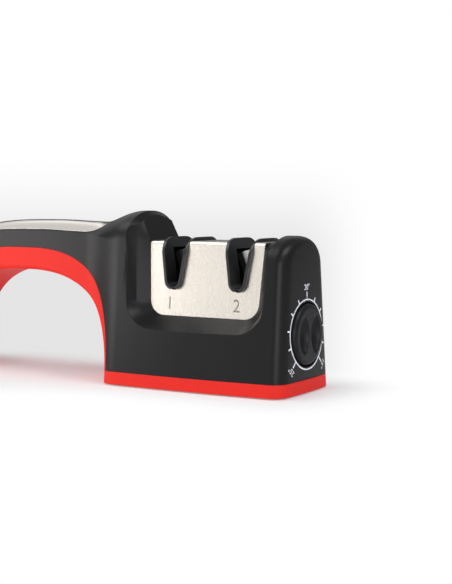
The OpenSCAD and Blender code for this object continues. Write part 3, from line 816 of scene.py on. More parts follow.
    def headness(self, x: float) -> float:
        """Returns 0 on the handle and 1 on the head."""
        return ease(self.hump_foot, self.x_head + self.head_reach, x)

    def edge_drop(self, x: float) -> float:
        """Returns how far the rounded top falls to the side's upper edge."""
        return min(mix(self.crown_h, self.top_drop, self.headness(x)), self.crown_limit * self.top(x))

    def shoulder(self, x: float) -> float:
        """Returns the height of the side's upper edge."""
        return self.top(x) - self.edge_drop(x)

    def crown(self, x: float, y: float) -> float:
        """Returns the height of the body's top surface."""
        wide = self.half(x, self.shoulder(x)) - self.ridge_half
        u = min(1.0, max(0.0, (abs(y) - self.ridge_half) / wide))
        return self.shoulder(x) + self.edge_drop(x) * (1 - u * u) ** (1 / (1 + self.headness(x)))

    def section(self, x: float, inset: float = 0.0) -> list[Point2]:
        """Returns the closed cross-section at x.

        Args:
            x: The place along the body.
            inset: How far the section is drawn in, for the corner at the knob end.

        Returns:
            Points in Y and Z, from the rear foot over the top to the front foot.
        """
        high = self.shoulder(x)
        foot = min(self.saddle_z - self.ledge_drop - self.lip_w, 0.5 * high)
        lip = self.lip_sink(x)
        side = [(self.half(x, t * foot) - inset + t * self.belly, t * foot) for t in (0.0, 0.5, 1.0)]
        for t in spread(0.0, 1.0, self.side_steps)[1:-1]:
            z = mix(foot, high, t)
            drawn_in = lip * max(0.0, (z - self.lip_start) / (high - self.lip_start))
            side.append((self.half(x, z) - inset + (1 - t) * self.belly - drawn_in, z))
        wide = self.half(x, high)
        narrow = (wide - inset - lip) / wide
        rise = 1 - (lip + self.corner_sink * inset) / self.edge_drop(x)
        for t in quarter_turn(self.crown_steps):
            y = mix(self.ridge_half, wide, math.cos(t))
            side.append((narrow * y, mix(high, self.crown(x, y), rise)))
        return [(-y, z) for y, z in side] + side[::-1]

    def end_in(self, y: float, z: float) -> float:
        """Returns how far the knob end's face lies behind its lowest middle point."""
        return self.end_lean * z + self.end_bow * (y / (self.base_depth / 2)) ** 2

    def end_face(self, y: float, z: float) -> float:
        """Returns the place of the knob end's face along the body."""
        return self.x_end - self.end_in(y, z)

    def rings(self) -> list[Ring]:
        """Returns the cross-sections of the whole body from the tail to the knob end."""
        span = self.crest_x - self.x_tail
        shares = spread(0.0, 1.0, self.tail_steps)
        tail = [math.radians(self.tail_turn * (1 - t**self.tail_pack)) for t in shares]
        places = [self.crest_x - span * math.sin(t) ** (2 / self.tail_n) for t in tail]
        places += spread(self.crest_x, self.lip_left, self.handle_steps)[1:]
        places += spread(self.lip_left + self.lip_w, self.lip_right - self.lip_w, self.head_steps)
        places += [self.lip_right, self.x_corner]
        rings = [[(x, y, z) for y, z in self.section(x)] for x in places]
        for t in quarter_turn(self.corner_steps)[1:]:
            loop = self.section(self.x_corner, self.corner_r * (1 - math.cos(t)))
            bring = self.corner_r * (1 - math.sin(t))
            rings.append([(self.x_end - bring - math.sin(t) * self.end_in(y, z), y, z) for y, z in loop])
        loop = self.section(self.x_corner, self.corner_r)
        for k in END_SHARES:
            small = [(k * y, mix(self.knob_z, z, k)) for y, z in loop]
            rings.append([(self.end_face(y, z), y, z) for y, z in small])
        return rings

    def arch(self, left: float, right: float, height: float, n: float) -> list[Point2]:
        """Returns a superellipse arch over the table, from its right foot to its left foot."""
        points = []
        for t in spread(0.0, math.pi, self.arch_steps):
            c = math.cos(t)
            reach = right if c > 0 else -left
            rise = height * max(0.0, math.sin(t)) ** (2 / n)
            points.append((self.arch_x + reach * abs(c) ** (2 / n), rise))
        return points

    def finger_arch(self) -> list[Point2]:
        """Returns the outline of the finger opening."""
        return self.arch(self.arch_left, self.arch_right, self.arch_h, self.arch_n)

    def seam_arch(self, gap: float = 0.0) -> list[Point2]:
        """Returns the seam between the black body and the red grip."""
        left = self.arch_left + self.tail_strip_t + gap
        return self.arch(left, self.arch_right + self.grip_foot_t + gap, self.seam_h + gap, self.seam_n)

    def head_plan(self, z: float, inset: float) -> list[Point2]:
        """Returns the closed plan of the head at a height, drawn in by an inset."""
        last, r = self.x_corner, max(self.least_corner, self.corner_r - inset)
        start, turn = self.x_head + inset, max(self.least_foot, self.foot_corner - inset)
        side = []
        for t in quarter_turn(self.foot_steps):
            x = start + turn * (1 - math.cos(t))
            side.append((x, self.half(x, z) - inset - turn * (1 - math.sin(t))))
        places = spread(start + turn, last, self.plan_steps)[1:]
        side += [(x, self.half(x, z) - inset) for x in places]
        for t in quarter_turn(self.corner_steps)[1:]:
            y = self.half(last, z) - inset - r * (1 - math.cos(t))
            side.append((self.x_end - inset - r * (1 - math.sin(t)) - math.sin(t) * self.end_in(y, z), y))
        for k in END_SHARES:
            y = k * (self.half(last, z) - self.corner_r)
            side.append((self.end_face(y, z) - inset, y))
        return both_sides(side, 1)

    def tail_plan(self, z: float, inset: float) -> list[Point2]:
        """Returns the closed plan of the tail foot at a height, drawn in by an inset."""
        inner = self.x_tail + self.tail_len
        wide, r = self.handle_half(inner, z) - inset, max(self.least_corner, self.tail_r - inset)
        side = [(inner - inset, wide)]
        for t in quarter_turn(self.curve_steps):
            side.append((self.x_tail + inset + r * (1 - math.sin(t)), wide - r * (1 - math.cos(t))))
        return both_sides(side, 1)

    def saddle_side(self, side: int, out: float, fall: float, lean: float) -> list[Point2]:
        """Returns half of the saddle's U in side view, from the middle of its floor to its top."""
        x0, z0 = self.saddle_len / 2 - self.saddle_r, self.saddle_z + self.saddle_r
        if side > 0:
            out = min(out, self.post_lip * out)
        points = []
        for t in quarter_turn(self.curve_steps):
            across = x0 + (self.saddle_r + out) * math.sin(t)
            points.append((self.saddle_x + side * across, z0 - (self.saddle_r + fall) * math.cos(t)))
        for z in spread(self.cover_h, self.hump_h + self.saddle_over, self.wall_steps):
            wide = x0 + self.saddle_r + out + self.saddle_flare * (z - z0) + lean * (z - self.cover_h)
            points.append((self.saddle_x + side * wide, z))
        return points

    def saddle_outline(self, out: float, fall: float, lean: float = 0.0) -> list[Point2]:
        """Returns the saddle's closed U in side view.

        Args:
            out: How far it is widened.
            fall: How far it is lowered.
            lean: How far its ends lean out over the cover, for each unit of height.

        Returns:
            Points in X and Z.
        """
        return self.saddle_side(1, out, fall, lean) + self.saddle_side(-1, out, fall, lean)[::-1]

    def saddle_ring(self, sign: int, share: float) -> Ring:
        """Returns the saddle's outline part of the way from the cover to the lip's inner edge.

        Args:
            sign: -1 at the front and 1 at the back.
            share: 0 at the cover and 1 at the lip.

        Returns:
            The ring.
        """
        lean = mix(self.wall_lean, self.lip_lean, share)
        ring = []
        for x, z in self.saddle_outline(share * self.ledge_out, share * self.ledge_drop, lean):
            wall = self.cover_depth / 2 + self.seat_gap - self.side_draft * (z - self.saddle_z)
            ring.append((x, sign * mix(wall, self.half(x, z) - self.lip_depth, share), z))
        return ring

    def saddle_cutter(self) -> bpy.types.Object:
        """Makes the solid that cuts the saddle with its hollow ledge and bevelled lip."""
        over = 2 * self.lip_w
        outer = self.saddle_outline(self.ledge_out + over, self.ledge_drop + over, self.lip_lean)
        halves = []
        for sign in (-1, 1):
            rings = [self.saddle_ring(sign, t) for t in spread(0.0, 1.0, self.ledge_steps)]
            rings.append([(x, sign * (self.half(x, z) + self.lip_depth), z) for x, z in outer])
            rings.append([(x, sign * FAR / 4, z) for x, z in outer])
            halves.append(rings)
        return loft("saddle_cutter", halves[0][::-1] + halves[1])


SHAPE = BodyShape()


# Sub-assemblies


@dataclass
class Casing:
    """The black housing, the red base tray and the red grip underside."""

    shape: BodyShape
    finishes: Finishes
    cavity_top: float = 23.0
    channel_top: float = 28.3
    pit_half: float = 9.5
    pit_y: float = 7.9
    pit_over: float = 3.0
    channel_ahead: float = 3.5
    recess_d: float = 26.7
    recess_x: float = 99.8
    bore_r: float = 3.05
    end_wall: float = 3.0
    cut_over: float = 1.0
    pocket_gap: float = 0.5
    pad_recess: float = 1.65
    pad_margin: float = 4.0
    tray_floor: float = 3.6
    foot_round: float = 0.4
    grip_round: float = 2.2
    grip_limit: float = 0.45
    weld: float = 0.02
    bore_steps: int = 128
    strip_steps: int = 4
    round_steps: int = 8
    soft_angle: float = 15.0

    def bore(self, name: str, radius: float, start: float, end: float) -> bpy.types.Object:
        """Makes a round cutter on the knob's axis."""
        ring = [(y, z + self.shape.knob_z) for y, z in circle(radius, self.bore_steps)]
        return prism_x(name, ring, start, end)

    def housing(self, inlay_cutter: bpy.types.Object) -> bpy.types.Object:
        """Makes the black moulding of head, handle and tail.

        Args:
            inlay_cutter: The solid that cuts the steel inlay's recess.

        Returns:
            The housing.
        """
        s = self.shape
        piece = loft("housing_shell", s.rings())
        cavity_end = self.recess_x - self.end_wall
        cavity_start = s.x_head + s.grip_foot_t + s.wall
        room = prism_z("cavity", s.head_plan(self.cavity_top, s.wall), -FAR, self.cavity_top)
        clip = block("cavity_clip", (cavity_start, -FAR, -2 * FAR), (cavity_end, FAR, FAR))
        combine(room, "INTERSECT", [clip])
        channel_low = (s.saddle_left - self.channel_ahead, -self.pit_y, 0.0)
        cutters = [
            block("below_band", (-FAR, -FAR, -FAR), (FAR, FAR, s.band_h)),
            prism_y("seam", to_ground(s.seam_arch(s.seat_gap))),
            s.saddle_cutter(),
            room,
            block("channel", channel_low, (cavity_end, self.pit_y, self.channel_top)),
            self.bore("knob_recess", self.recess_d / 2, self.recess_x, FAR),
            self.bore("spindle_bore", self.bore_r, cavity_end - self.cut_over, FAR),
            inlay_cutter,
        ]
        for x in s.slots:
            low = (x - self.pit_half, -self.pit_y, 0.0)
            cutters.append(block("pit", low, (x + self.pit_half, self.pit_y, s.saddle_z + self.pit_over)))
        combine(piece, "DIFFERENCE", cutters)
        soften(piece, self.soft_angle)
        return finish_piece(piece, self.finishes.black, Body.CASE, Slot.BLACK, "housing")

    def foot(self, name: str, plan: Callable[[float, float], list[Point2]], top: float) -> bpy.types.Object:
        """Makes a low slab on a plan, with a rounded lower edge.

        Args:
            name: The piece's name.
            plan: Gives the outline at a height and an inset.
            top: The slab's top.

        Returns:
            The slab.
        """
        low, r = self.shape.tray_z, self.foot_round
        rings = []
        for t in quarter_turn(self.shape.foot_steps):
            z = low + r * (1 - math.cos(t))
            rings.append([(x, y, z) for x, y in plan(z, r * (1 - math.sin(t)))])
        rings.append([(x, y, top) for x, y in plan(top, 0.0)])
        return loft(name, rings)

    def tray(self) -> bpy.types.Object:
        """Makes the red base tray under the head."""
        s = self.shape
        piece = self.foot("base_tray_shell", s.head_plan, s.band_h - s.seat_gap)
        inner = s.head_plan(self.cavity_top, s.wall + self.pocket_gap)
        pocket = prism_z("pocket", inner, self.tray_floor, FAR)
        pad = prism_z("pad_recess", s.head_plan(0.0, self.pad_margin - s.seat_gap), -FAR, self.pad_recess)
        combine(piece, "DIFFERENCE", [pocket, pad])
        soften(piece)
        return finish_piece(piece, self.finishes.red, Body.CASE, Slot.RED, "base_tray")

    def grip_ring(self, inner: Point2, outer: Point2) -> Ring:
        """Returns the grip strip's cross-section between a point of the opening and one of the seam."""
        s = self.shape
        thick = math.dist(inner, outer)
        r = min(self.grip_round, self.grip_limit * thick)
        w_in, w_out = s.half(*inner), s.half(*outer)

        def at(y: float, up: float) -> Point3:
            """Returns a point at a share of the way from the opening to the seam."""
            t = up / thick
            return (mix(inner[0], outer[0], t), y, mix(inner[1], outer[1], t))

        side = [at(mix(w_in, w_out, t), t * thick) for t in spread(1.0, r / thick, self.strip_steps)]
        for t in quarter_turn(self.round_steps)[1:]:
            side.append(at(w_in - r * (1 - math.cos(t)), r * (1 - math.sin(t))))
        return both_sides(side, 1)

    def grip(self) -> bpy.types.Object:
        """Makes the red strip under the handle and the sole of the tail."""
        s = self.shape
        pairs = list(zip(s.finger_arch(), s.seam_arch()))
        piece = loft("grip_shell", [self.grip_ring(a, b) for a, b in pairs[2:-2]])
        above = block("above_band", (-FAR, -FAR, s.band_h), (FAR, FAR, FAR))
        combine(piece, "INTERSECT", [above])
        sole = self.foot("sole", s.tail_plan, s.band_h + self.weld)
        pad = prism_z("tail_recess", s.tail_plan(0.0, self.pad_margin - s.seat_gap), -FAR, self.pad_recess)
        combine(sole, "DIFFERENCE", [prism_y("opening", to_ground(s.finger_arch())), pad])
        combine(piece, "UNION", [sole])
        soften(piece)
        return finish_piece(piece, self.finishes.red, Body.CASE, Slot.RED, "grip_underside")


@dataclass
class SteelTrim:
    """The brushed cover over the sharpening stages and the inlay on the handle."""

    shape: BodyShape
    finishes: Finishes
    cover_t: float = 0.8
    bend_r: float = 1.8
    least_bend: float = 0.3
    overrun: float = 20.0
    slot_w: float = 13.5
    slot_z: float = 41.4
    slot_r: float = 4.1
    numeral_h: float = 5.2
    numeral_z: float = 33.2
    numeral_depth: float = 0.3
    etch_t: float = 0.04
    numerals: tuple[tuple[str, float], ...] = (("1", 46.3), ("2", 78.9))
    inlay_t: float = 0.8
    inlay_rim: float = 0.9
    inlay_end: float = 9.0
    inlay_start: float = 14.0
    inlay_stop: float = 6.5
    inlay_tip: float = 0.35
    cutter_up: float = 3.0
    bend_steps: int = 10
    slot_steps: int = 36
    end_steps: int = 12
    strip_steps: int = 60
    row_steps: int = 28
    soft_angle: float = 20.0

    def cover_half(self, z: float) -> float:
        """Returns half the cover's depth at a height."""
        return self.shape.cover_depth / 2 - self.shape.side_draft * (z - self.shape.saddle_z)

    def cover_section(self, inset: float) -> list[Point2]:
        """Returns the cover's cross-section, drawn in by an inset."""
        r, top = max(self.least_bend, self.bend_r - inset), self.shape.cover_h - inset
        edge, low = self.cover_half(top) - inset, self.cover_half(0.0) - inset
        side = [(low, 0.0)]
        turn = quarter_turn(self.bend_steps)
        side += [(edge - r * (1 - math.cos(t)), top - r * (1 - math.sin(t))) for t in turn]
        return both_sides(side, 0)

    def slot_outline(self, x: float, r: float) -> list[Point2]:
        """Returns a slot in side view: a round bottom with tangent walls that lean out."""
        centre = self.slot_z + self.slot_r
        reach = (self.slot_w / 2, self.shape.cover_h - centre)
        lean = math.acos(self.slot_r / math.hypot(*reach)) - math.atan2(reach[1], reach[0])
        turn = spread(math.pi + lean, 2 * math.pi - lean, self.slot_steps)
        arc = [(x + r * math.cos(t), centre + r * math.sin(t)) for t in turn]
        tip = FAR / 2
        wide = arc[-1][0] - x + (tip - arc[-1][1]) * math.tan(lean)
        return arc + [(x + wide, tip), (x - wide, tip)]

    def shell(self, name: str, inset: float, thick: float) -> bpy.types.Object:
        """Makes a folded sheet inside the saddle's outline."""
        s = self.shape
        start, stop = s.saddle_left - self.overrun, s.saddle_right + self.overrun
        over = self.overrun / 2
        piece = prism_x(name, self.cover_section(inset), start, stop)
        inside = prism_x("inside", self.cover_section(inset + thick), start - over, stop + over)
        combine(piece, "DIFFERENCE", [inside])
        fit = -3 * s.seat_gap
        combine(piece, "INTERSECT", [prism_y("saddle_fit", s.saddle_outline(fit, fit))])
        return piece

    def numeral(self, name: str, text: str, x: float, depth: float, thick: float) -> bpy.types.Object:
        """Makes a stage numeral on the leaning front of the cover.

        Args:
            name: The piece's name.
            text: The numeral.
            x: Its place along the cover.
            depth: How deep its middle lies under the surface.
            thick: How far it reaches to either side of its middle.

        Returns:
            The numeral as a solid.
        """
        piece = text_piece(name, text, self.numeral_h, thick)
        for v in piece.data.vertices:
            across, up, out = v.co / MM
            z = self.numeral_z + up
            v.co = Vector((x + across, depth + out - self.cover_half(z), z)) * MM
        repair_mesh(piece.data, FINE_MERGE)
        return piece

    def etching(self) -> bpy.types.Object:
        """Makes the dull floors of the stamped numerals."""
        deep = self.numeral_depth - self.etch_t
        pieces = [self.numeral("etched_" + text, text, x, deep, self.etch_t) for text, x in self.numerals]
        append_mesh(pieces[0], pieces[1])
        pieces[0].name = "etched_numerals"
        return finish_piece(pieces[0], self.finishes.etched, Body.CASE, Slot.STEEL)

    def cover(self) -> bpy.types.Object:
        """Makes the steel cover with its slots and stamped numerals."""
        piece = self.shell("cover_sheet", 0.0, self.cover_t)
        gap = self.slot_r + self.shape.seat_gap
        cuts = [prism_y("slot", self.slot_outline(x, gap)) for x in self.shape.slots]
        combine(piece, "DIFFERENCE", cuts)
        deep = self.numeral_depth
        stamps = [self.numeral("stamp_" + text, text, x, 0.0, deep) for text, x in self.numerals]
        combine(piece, "DIFFERENCE", stamps)
        soften(piece, self.soft_angle)
        return finish_piece(piece, self.finishes.cover, Body.CASE, Slot.STEEL, "steel_cover")

    def inlay_half(self, x: float, grow: float) -> float:
        """Returns half the inlay's width, rounded towards its ends."""
        s = self.shape
        start, stop = s.x_tail + self.inlay_start, s.x_head - self.inlay_stop
        w = s.half(x, s.shoulder(x)) - self.inlay_rim
        d = max(0.0, self.inlay_end - min(x - start, stop - x)) / self.inlay_end
        return grow + w * mix(self.inlay_tip, 1.0, math.sqrt(max(0.0, 1 - d * d)))

    def inlay_plate(self, name: str, grow: float, up: float, down: float) -> bpy.types.Object:
        """Makes a strip of the handle's crown with rounded ends.

        Args:
            name: The piece's name.
            grow: How much wider and longer than the inlay it is.
            up: Its height over the crown.
            down: Its depth under the crown.

        Returns:
            The strip.
        """
        s = self.shape
        start, stop, end = s.x_tail + self.inlay_start, s.x_head - self.inlay_stop, self.inlay_end
        turn = quarter_turn(self.end_steps)
        places = [start + end * (1 - math.cos(t)) for t in turn]
        places += spread(start + end, stop - end, self.strip_steps)[1:-1]
        places += [stop - end * (1 - math.sin(t)) for t in turn]
        places[0] -= grow
        places[-1] += grow
        rings = []
        for x in places:
            w = self.inlay_half(x, grow)
            row = [w * math.sin(t) for t in spread(-math.pi / 2, math.pi / 2, self.row_steps)]
            ring = [(x, y, s.crown(x, y) - down) for y in row[::-1]]
            rings.append(ring + [(x, y, s.crown(x, y) + up) for y in row])
        return loft(name, rings)

    def inlay(self) -> bpy.types.Object:
        """Makes the steel inlay on the handle."""
        piece = self.inlay_plate("inlay_sheet", 0.0, 0.0, self.inlay_t)
        soften(piece)
        return finish_piece(piece, self.finishes.inlay, Body.CASE, Slot.STEEL, "handle_inlay")

    def inlay_cutter(self) -> bpy.types.Object:
        """Makes the solid that cuts the inlay's recess."""
        gap = self.shape.seat_gap
        return self.inlay_plate("inlay_cutter", gap, self.cutter_up, self.inlay_t + gap)


@dataclass
class SlotGuide:
    """The black guide inside the cover, whose rims line the two knife slots."""

    trim: SteelTrim
    finishes: Finishes
    guide_t: float = 2.0
    rim_t: float = 1.2
    rim_proud: float = 1.5
    rim_round: float = 7.7
    window_y: float = 6.1
    pivot_z: float = 40.8
    pin_r: float = 1.55
    pin_steps: int = 32
    rim_steps: int = 14
    soft_angle: float = 24.0

    def rim_section(self) -> list[Point2]:
        """Returns the rims' cross-section over the cover."""
        top = self.trim.shape.cover_h + self.rim_proud
        start = top - self.rim_round
        low, high = (self.trim.cover_half(z) + self.rim_proud for z in (start, top))
        side = [(self.trim.cover_half(0.0) + self.rim_proud, 0.0)]
        for i, t in enumerate(quarter_turn(self.rim_steps)):
            edge = mix(low, high, i / self.rim_steps)
            side.append((edge - self.rim_round * (1 - math.cos(t)), start + self.rim_round * math.sin(t)))
        return both_sides(side, 0)

    def build(self) -> bpy.types.Object:
        """Makes the guide."""
        trim = self.trim
        inset = trim.cover_t + trim.shape.seat_gap
        piece = trim.shell("slot_guide_shell", inset, self.guide_t)
        for x in trim.shape.slots:
            rim = prism_y("rim", trim.slot_outline(x, trim.slot_r))
            combine(rim, "INTERSECT", [prism_x("rim_over", self.rim_section(), x - FAR / 4, x + FAR / 4)])
            combine(piece, "UNION", [rim])
        window_top = trim.shape.cover_h - inset - self.guide_t
        cuts = []
        for x in trim.shape.slots:
            cuts.append(prism_y("knife_slot", trim.slot_outline(x, trim.slot_r - self.rim_t)))
            low = (x - trim.slot_w, -self.window_y, 0.0)
            cuts.append(block("window", low, (x + trim.slot_w, self.window_y, window_top)))
            ring = [(x + a, self.pivot_z + b) for a, b in circle(self.pin_r, self.pin_steps)]
            cuts.append(prism_y("pin_hole", ring))
        combine(piece, "DIFFERENCE", cuts)
        soften(piece, self.soft_angle)
        return finish_piece(piece, self.finishes.rim, Body.CASE, Slot.BLACK, "slot_guide")


@dataclass
class AngleDial:
    """The knob with its two finger dimples, and the printed angle scale round it."""

    shape: BodyShape
    finishes: Finishes
    knob_r: float = 12.75
    knob_t: float = 5.3
    edge_r: float = 2.0
    chamfer: float = 0.3
    core_r: float = 0.02
    eye_r: float = 0.05
    face_play: float = 0.01
    turn_steps: int = 192
    face_steps: int = 64
    edge_steps: int = 8
    soft_angle: float = 40.0
    dimple_y: float = 5.0
    dimple_len: float = 18.8
    dimple_half: float = 4.4
    dimple_up: float = 1.6
    dimple_soft: float = 0.35
    dimple_trim: float = 0.15
    socket_r: float = 3.05
    socket_depth: float = 2.15
    ring_r: float = 14.25
    ring_w: float = 0.6
    ring_steps: int = 160
    print_t: float = 0.03
    tick_w: float = 0.65
    short_tick: float = 2.0
    long_tick: float = 3.2
    tick_step: float = 27.0
    ticks_each_side: int = 5
    number_h: float = 2.5
    number_r: float = 18.2
    numbers: tuple[tuple[str, int], ...] = (("20°", 0), ("15°", 1), ("25°", -1))

    @property
    def knob_face(self) -> float:
        """The knob's outer face along the body."""
        return self.shape.total_len / 2

    def dimple(self, y: float, z: float) -> float:
        """Returns how deep the finger dimples are at a point of the knob's face."""
        reach = self.dimple_len / 2
        bend = (reach**2 + self.dimple_half**2) / (2 * self.dimple_half)
        if abs(z) >= reach:
            round_here = 0.0
        else:
            round_here = math.sqrt(bend**2 - z**2) - (bend - self.dimple_half)
        off = abs(y) - self.dimple_y
        depth = math.sqrt(max(0.0, round_here**2 - off**2)) - self.dimple_up
        soft = self.dimple_soft
        return max(0.0, 0.5 * (depth + math.sqrt(depth**2 + soft**2)) - self.dimple_trim * soft)

    def knob(self) -> bpy.types.Object:
        """Makes the knob."""
        back = self.knob_face - self.knob_t
        seat, foot = back + self.socket_depth, back + self.chamfer
        profile: list[Point2] = [(self.core_r, seat), (self.socket_r, seat), (self.socket_r, back)]
        profile += [(self.knob_r - self.chamfer, back), (self.knob_r, foot)]
        profile.append((self.knob_r, mix(foot, self.knob_face - self.edge_r, 0.5)))
        for t in quarter_turn(self.edge_steps):
            r = self.knob_r - self.edge_r * (1 - math.cos(t))
            profile.append((r, self.knob_face - self.edge_r * (1 - math.sin(t))))
        flat = self.knob_r - self.edge_r
        profile += [(r, self.knob_face) for r in spread(flat, self.eye_r, self.face_steps)[1:]]
        rings = []
        for r, x in profile:
            ring = []
            for y, z in circle(r, self.turn_steps):
                sink = self.dimple(y, z) if x > self.knob_face - self.face_play else 0.0
                ring.append((x - sink, y, z + self.shape.knob_z))
            rings.append(ring)
        piece = loft("knob_cap", rings)
        soften(piece, self.soft_angle)
        return finish_piece(piece, self.finishes.knob, Body.KNOB, Slot.KNOB, "knob")

    def scale_tree(self) -> tuple[bpy.types.NodeTree, dict[str, object]]:
        """Builds the node tree that draws the scale's ring and ticks in a plane.

        Returns:
            The tree, and the value of each of its inputs by the input's identifier.
        """
        tree = bpy.data.node_groups.new("angle_scale", "GeometryNodeTree")
        face = tree.interface
        face.new_socket("Geometry", in_out="OUTPUT", socket_type="NodeSocketGeometry")
        wanted = (
            ("Ring radius", "NodeSocketFloat", self.ring_r * MM),
            ("Ring width", "NodeSocketFloat", self.ring_w * MM),
            ("Thickness", "NodeSocketFloat", 2 * self.print_t * MM),
            ("Tick width", "NodeSocketFloat", self.tick_w * MM),
            ("Short tick", "NodeSocketFloat", self.short_tick * MM),
            ("Long tick", "NodeSocketFloat", self.long_tick * MM),
            ("Tick step", "NodeSocketFloat", math.radians(self.tick_step)),
            ("Ticks each side", "NodeSocketInt", self.ticks_each_side),
            ("Print", "NodeSocketMaterial", self.finishes.print),
        )
        values: dict[str, object] = {}
        for name, kind, value in wanted:
            socket = face.new_socket(name, in_out="INPUT", socket_type=kind)
            values[socket.identifier] = value
        kit = NodeKit(tree)
        given = kit.add("NodeGroupInput").outputs

        def ticks(count: object, step: object, first: object, length: object) -> bpy.types.NodeSocket:
            """Adds a fan of ticks that stand out from the ring and returns it."""
            line = kit.wired("GeometryNodeMeshLine", {"Count": count, "Offset": (0.0, 0.0, 0.0)})
            index = kit.add("GeometryNodeInputIndex").outputs[0]
            where = kit.calc("ADD", kit.calc("MULTIPLY", index, step), first)
            sides = {"X": given["Tick width"], "Y": length, "Z": given["Thickness"]}
            bar = kit.wired("GeometryNodeMeshCube", {"Size": kit.wired("ShaderNodeCombineXYZ", sides)})
            middle = kit.calc("ADD", kit.calc("MULTIPLY", length, 0.5), given["Ring radius"])
            off = kit.wired("ShaderNodeCombineXYZ", {"Y": middle})
            lift = kit.wired("GeometryNodeTransform", {"Geometry": bar, "Translation": off})
            turn = kit.wired("ShaderNodeCombineXYZ", {"Z": kit.calc("MULTIPLY", where, -1.0)})
            fan = {"Points": line, "Instance": lift, "Rotation": turn}
            return kit.wired("GeometryNodeInstanceOnPoints", fan)

        size = {"Resolution": self.ring_steps, "Radius": given["Ring radius"]}
        hoop = kit.wired("GeometryNodeCurvePrimitiveCircle", size)
        sides = {"Width": given["Ring width"], "Height": given["Thickness"]}
        strip = kit.wired("GeometryNodeCurvePrimitiveQuadrilateral", sides)
        ring = kit.wired("GeometryNodeCurveToMesh", {"Curve": hoop, "Profile Curve": strip})
        every = kit.calc("ADD", kit.calc("MULTIPLY", given["Ticks each side"], 2.0), 1.0)
        long_step = kit.calc("MULTIPLY", given["Ticks each side"], given["Tick step"])
        start = kit.calc("MULTIPLY", long_step, -1.0)
        join = kit.add("GeometryNodeJoinGeometry")
        kit.feed(join.inputs[0], ring)
        kit.feed(join.inputs[0], ticks(every, given["Tick step"], start, given["Short tick"]))
        kit.feed(join.inputs[0], ticks(len(self.numbers), long_step, start, given["Long tick"]))
        solid = kit.wired("GeometryNodeRealizeInstances", {"Geometry": join.outputs[0]})
        paint = kit.wired("GeometryNodeSetMaterial", {"Geometry": solid, "Material": given["Print"]})
        kit.feed(kit.add("NodeGroupOutput").inputs[0], paint)
        return tree, values

    def on_end_face(self, piece: bpy.types.Object, turn: float = 0.0, out: float = 0.0) -> None:
        """Lays a flat piece on the knob end's face.

        Args:
            piece: A piece drawn in X and Y about the origin.
            turn: How far it is turned clockwise round the knob, in degrees.
            out: How far it is first moved out from the knob's axis, in millimetres.
        """
        spin = math.radians(turn)
        for v in piece.data.vertices:
            x, y, z = v.co / MM
            y += out
            across = x * math.cos(spin) + y * math.sin(spin)
            up = self.shape.knob_z + y * math.cos(spin) - x * math.sin(spin)
            v.co = Vector((self.shape.end_face(across, up) + z, across, up)) * MM
        repair_mesh(piece.data, FINE_MERGE)

    def scale(self) -> bpy.types.Object:
        """Prints the ring, the ticks and the three angles on the knob end."""
        tree, values = self.scale_tree()
        piece = new_object("dial_print", bpy.data.meshes.new("dial_print"))
        draw = piece.modifiers.new("angle_scale", "NODES")
        draw.node_group = tree
        for identifier, value in values.items():
            draw[identifier] = value
        settle(piece)
        self.on_end_face(piece)
        for text, side in self.numbers:
            number = text_piece("number", text, self.number_h, self.print_t)
            self.on_end_face(number, side * self.ticks_each_side * self.tick_step, self.number_r)
            append_mesh(piece, number)
        return finish_piece(piece, self.finishes.print, Body.CASE, Slot.BLACK)


# Studio


def look_at(thing: bpy.types.Object, place: Point3, target: Point3) -> None:
    """Moves a camera or lamp to a place and points it at a target, both in millimetres."""
    thing.location = Vector(place) * MM
    view = (Vector(target) - Vector(place)) * MM
    thing.rotation_euler = view.to_track_quat("-Z", "Y").to_euler()


@dataclass(frozen=True)
class SoftBox:
    """A rectangular lamp, with its place and size in millimetres and its power in watts."""

    name: str
    place: Point3
    size: Point2
    power: float
    colour: Colour

    def build(self, target: Point3) -> None:
        """Adds the lamp and points it at the target."""
        light = bpy.data.lights.new(self.name, "AREA")
        light.shape = "RECTANGLE"
        light.size, light.size_y = metres(self.size)
        light.energy = self.power
        light.color = self.colour
        look_at(new_object(self.name, light), self.place, target)


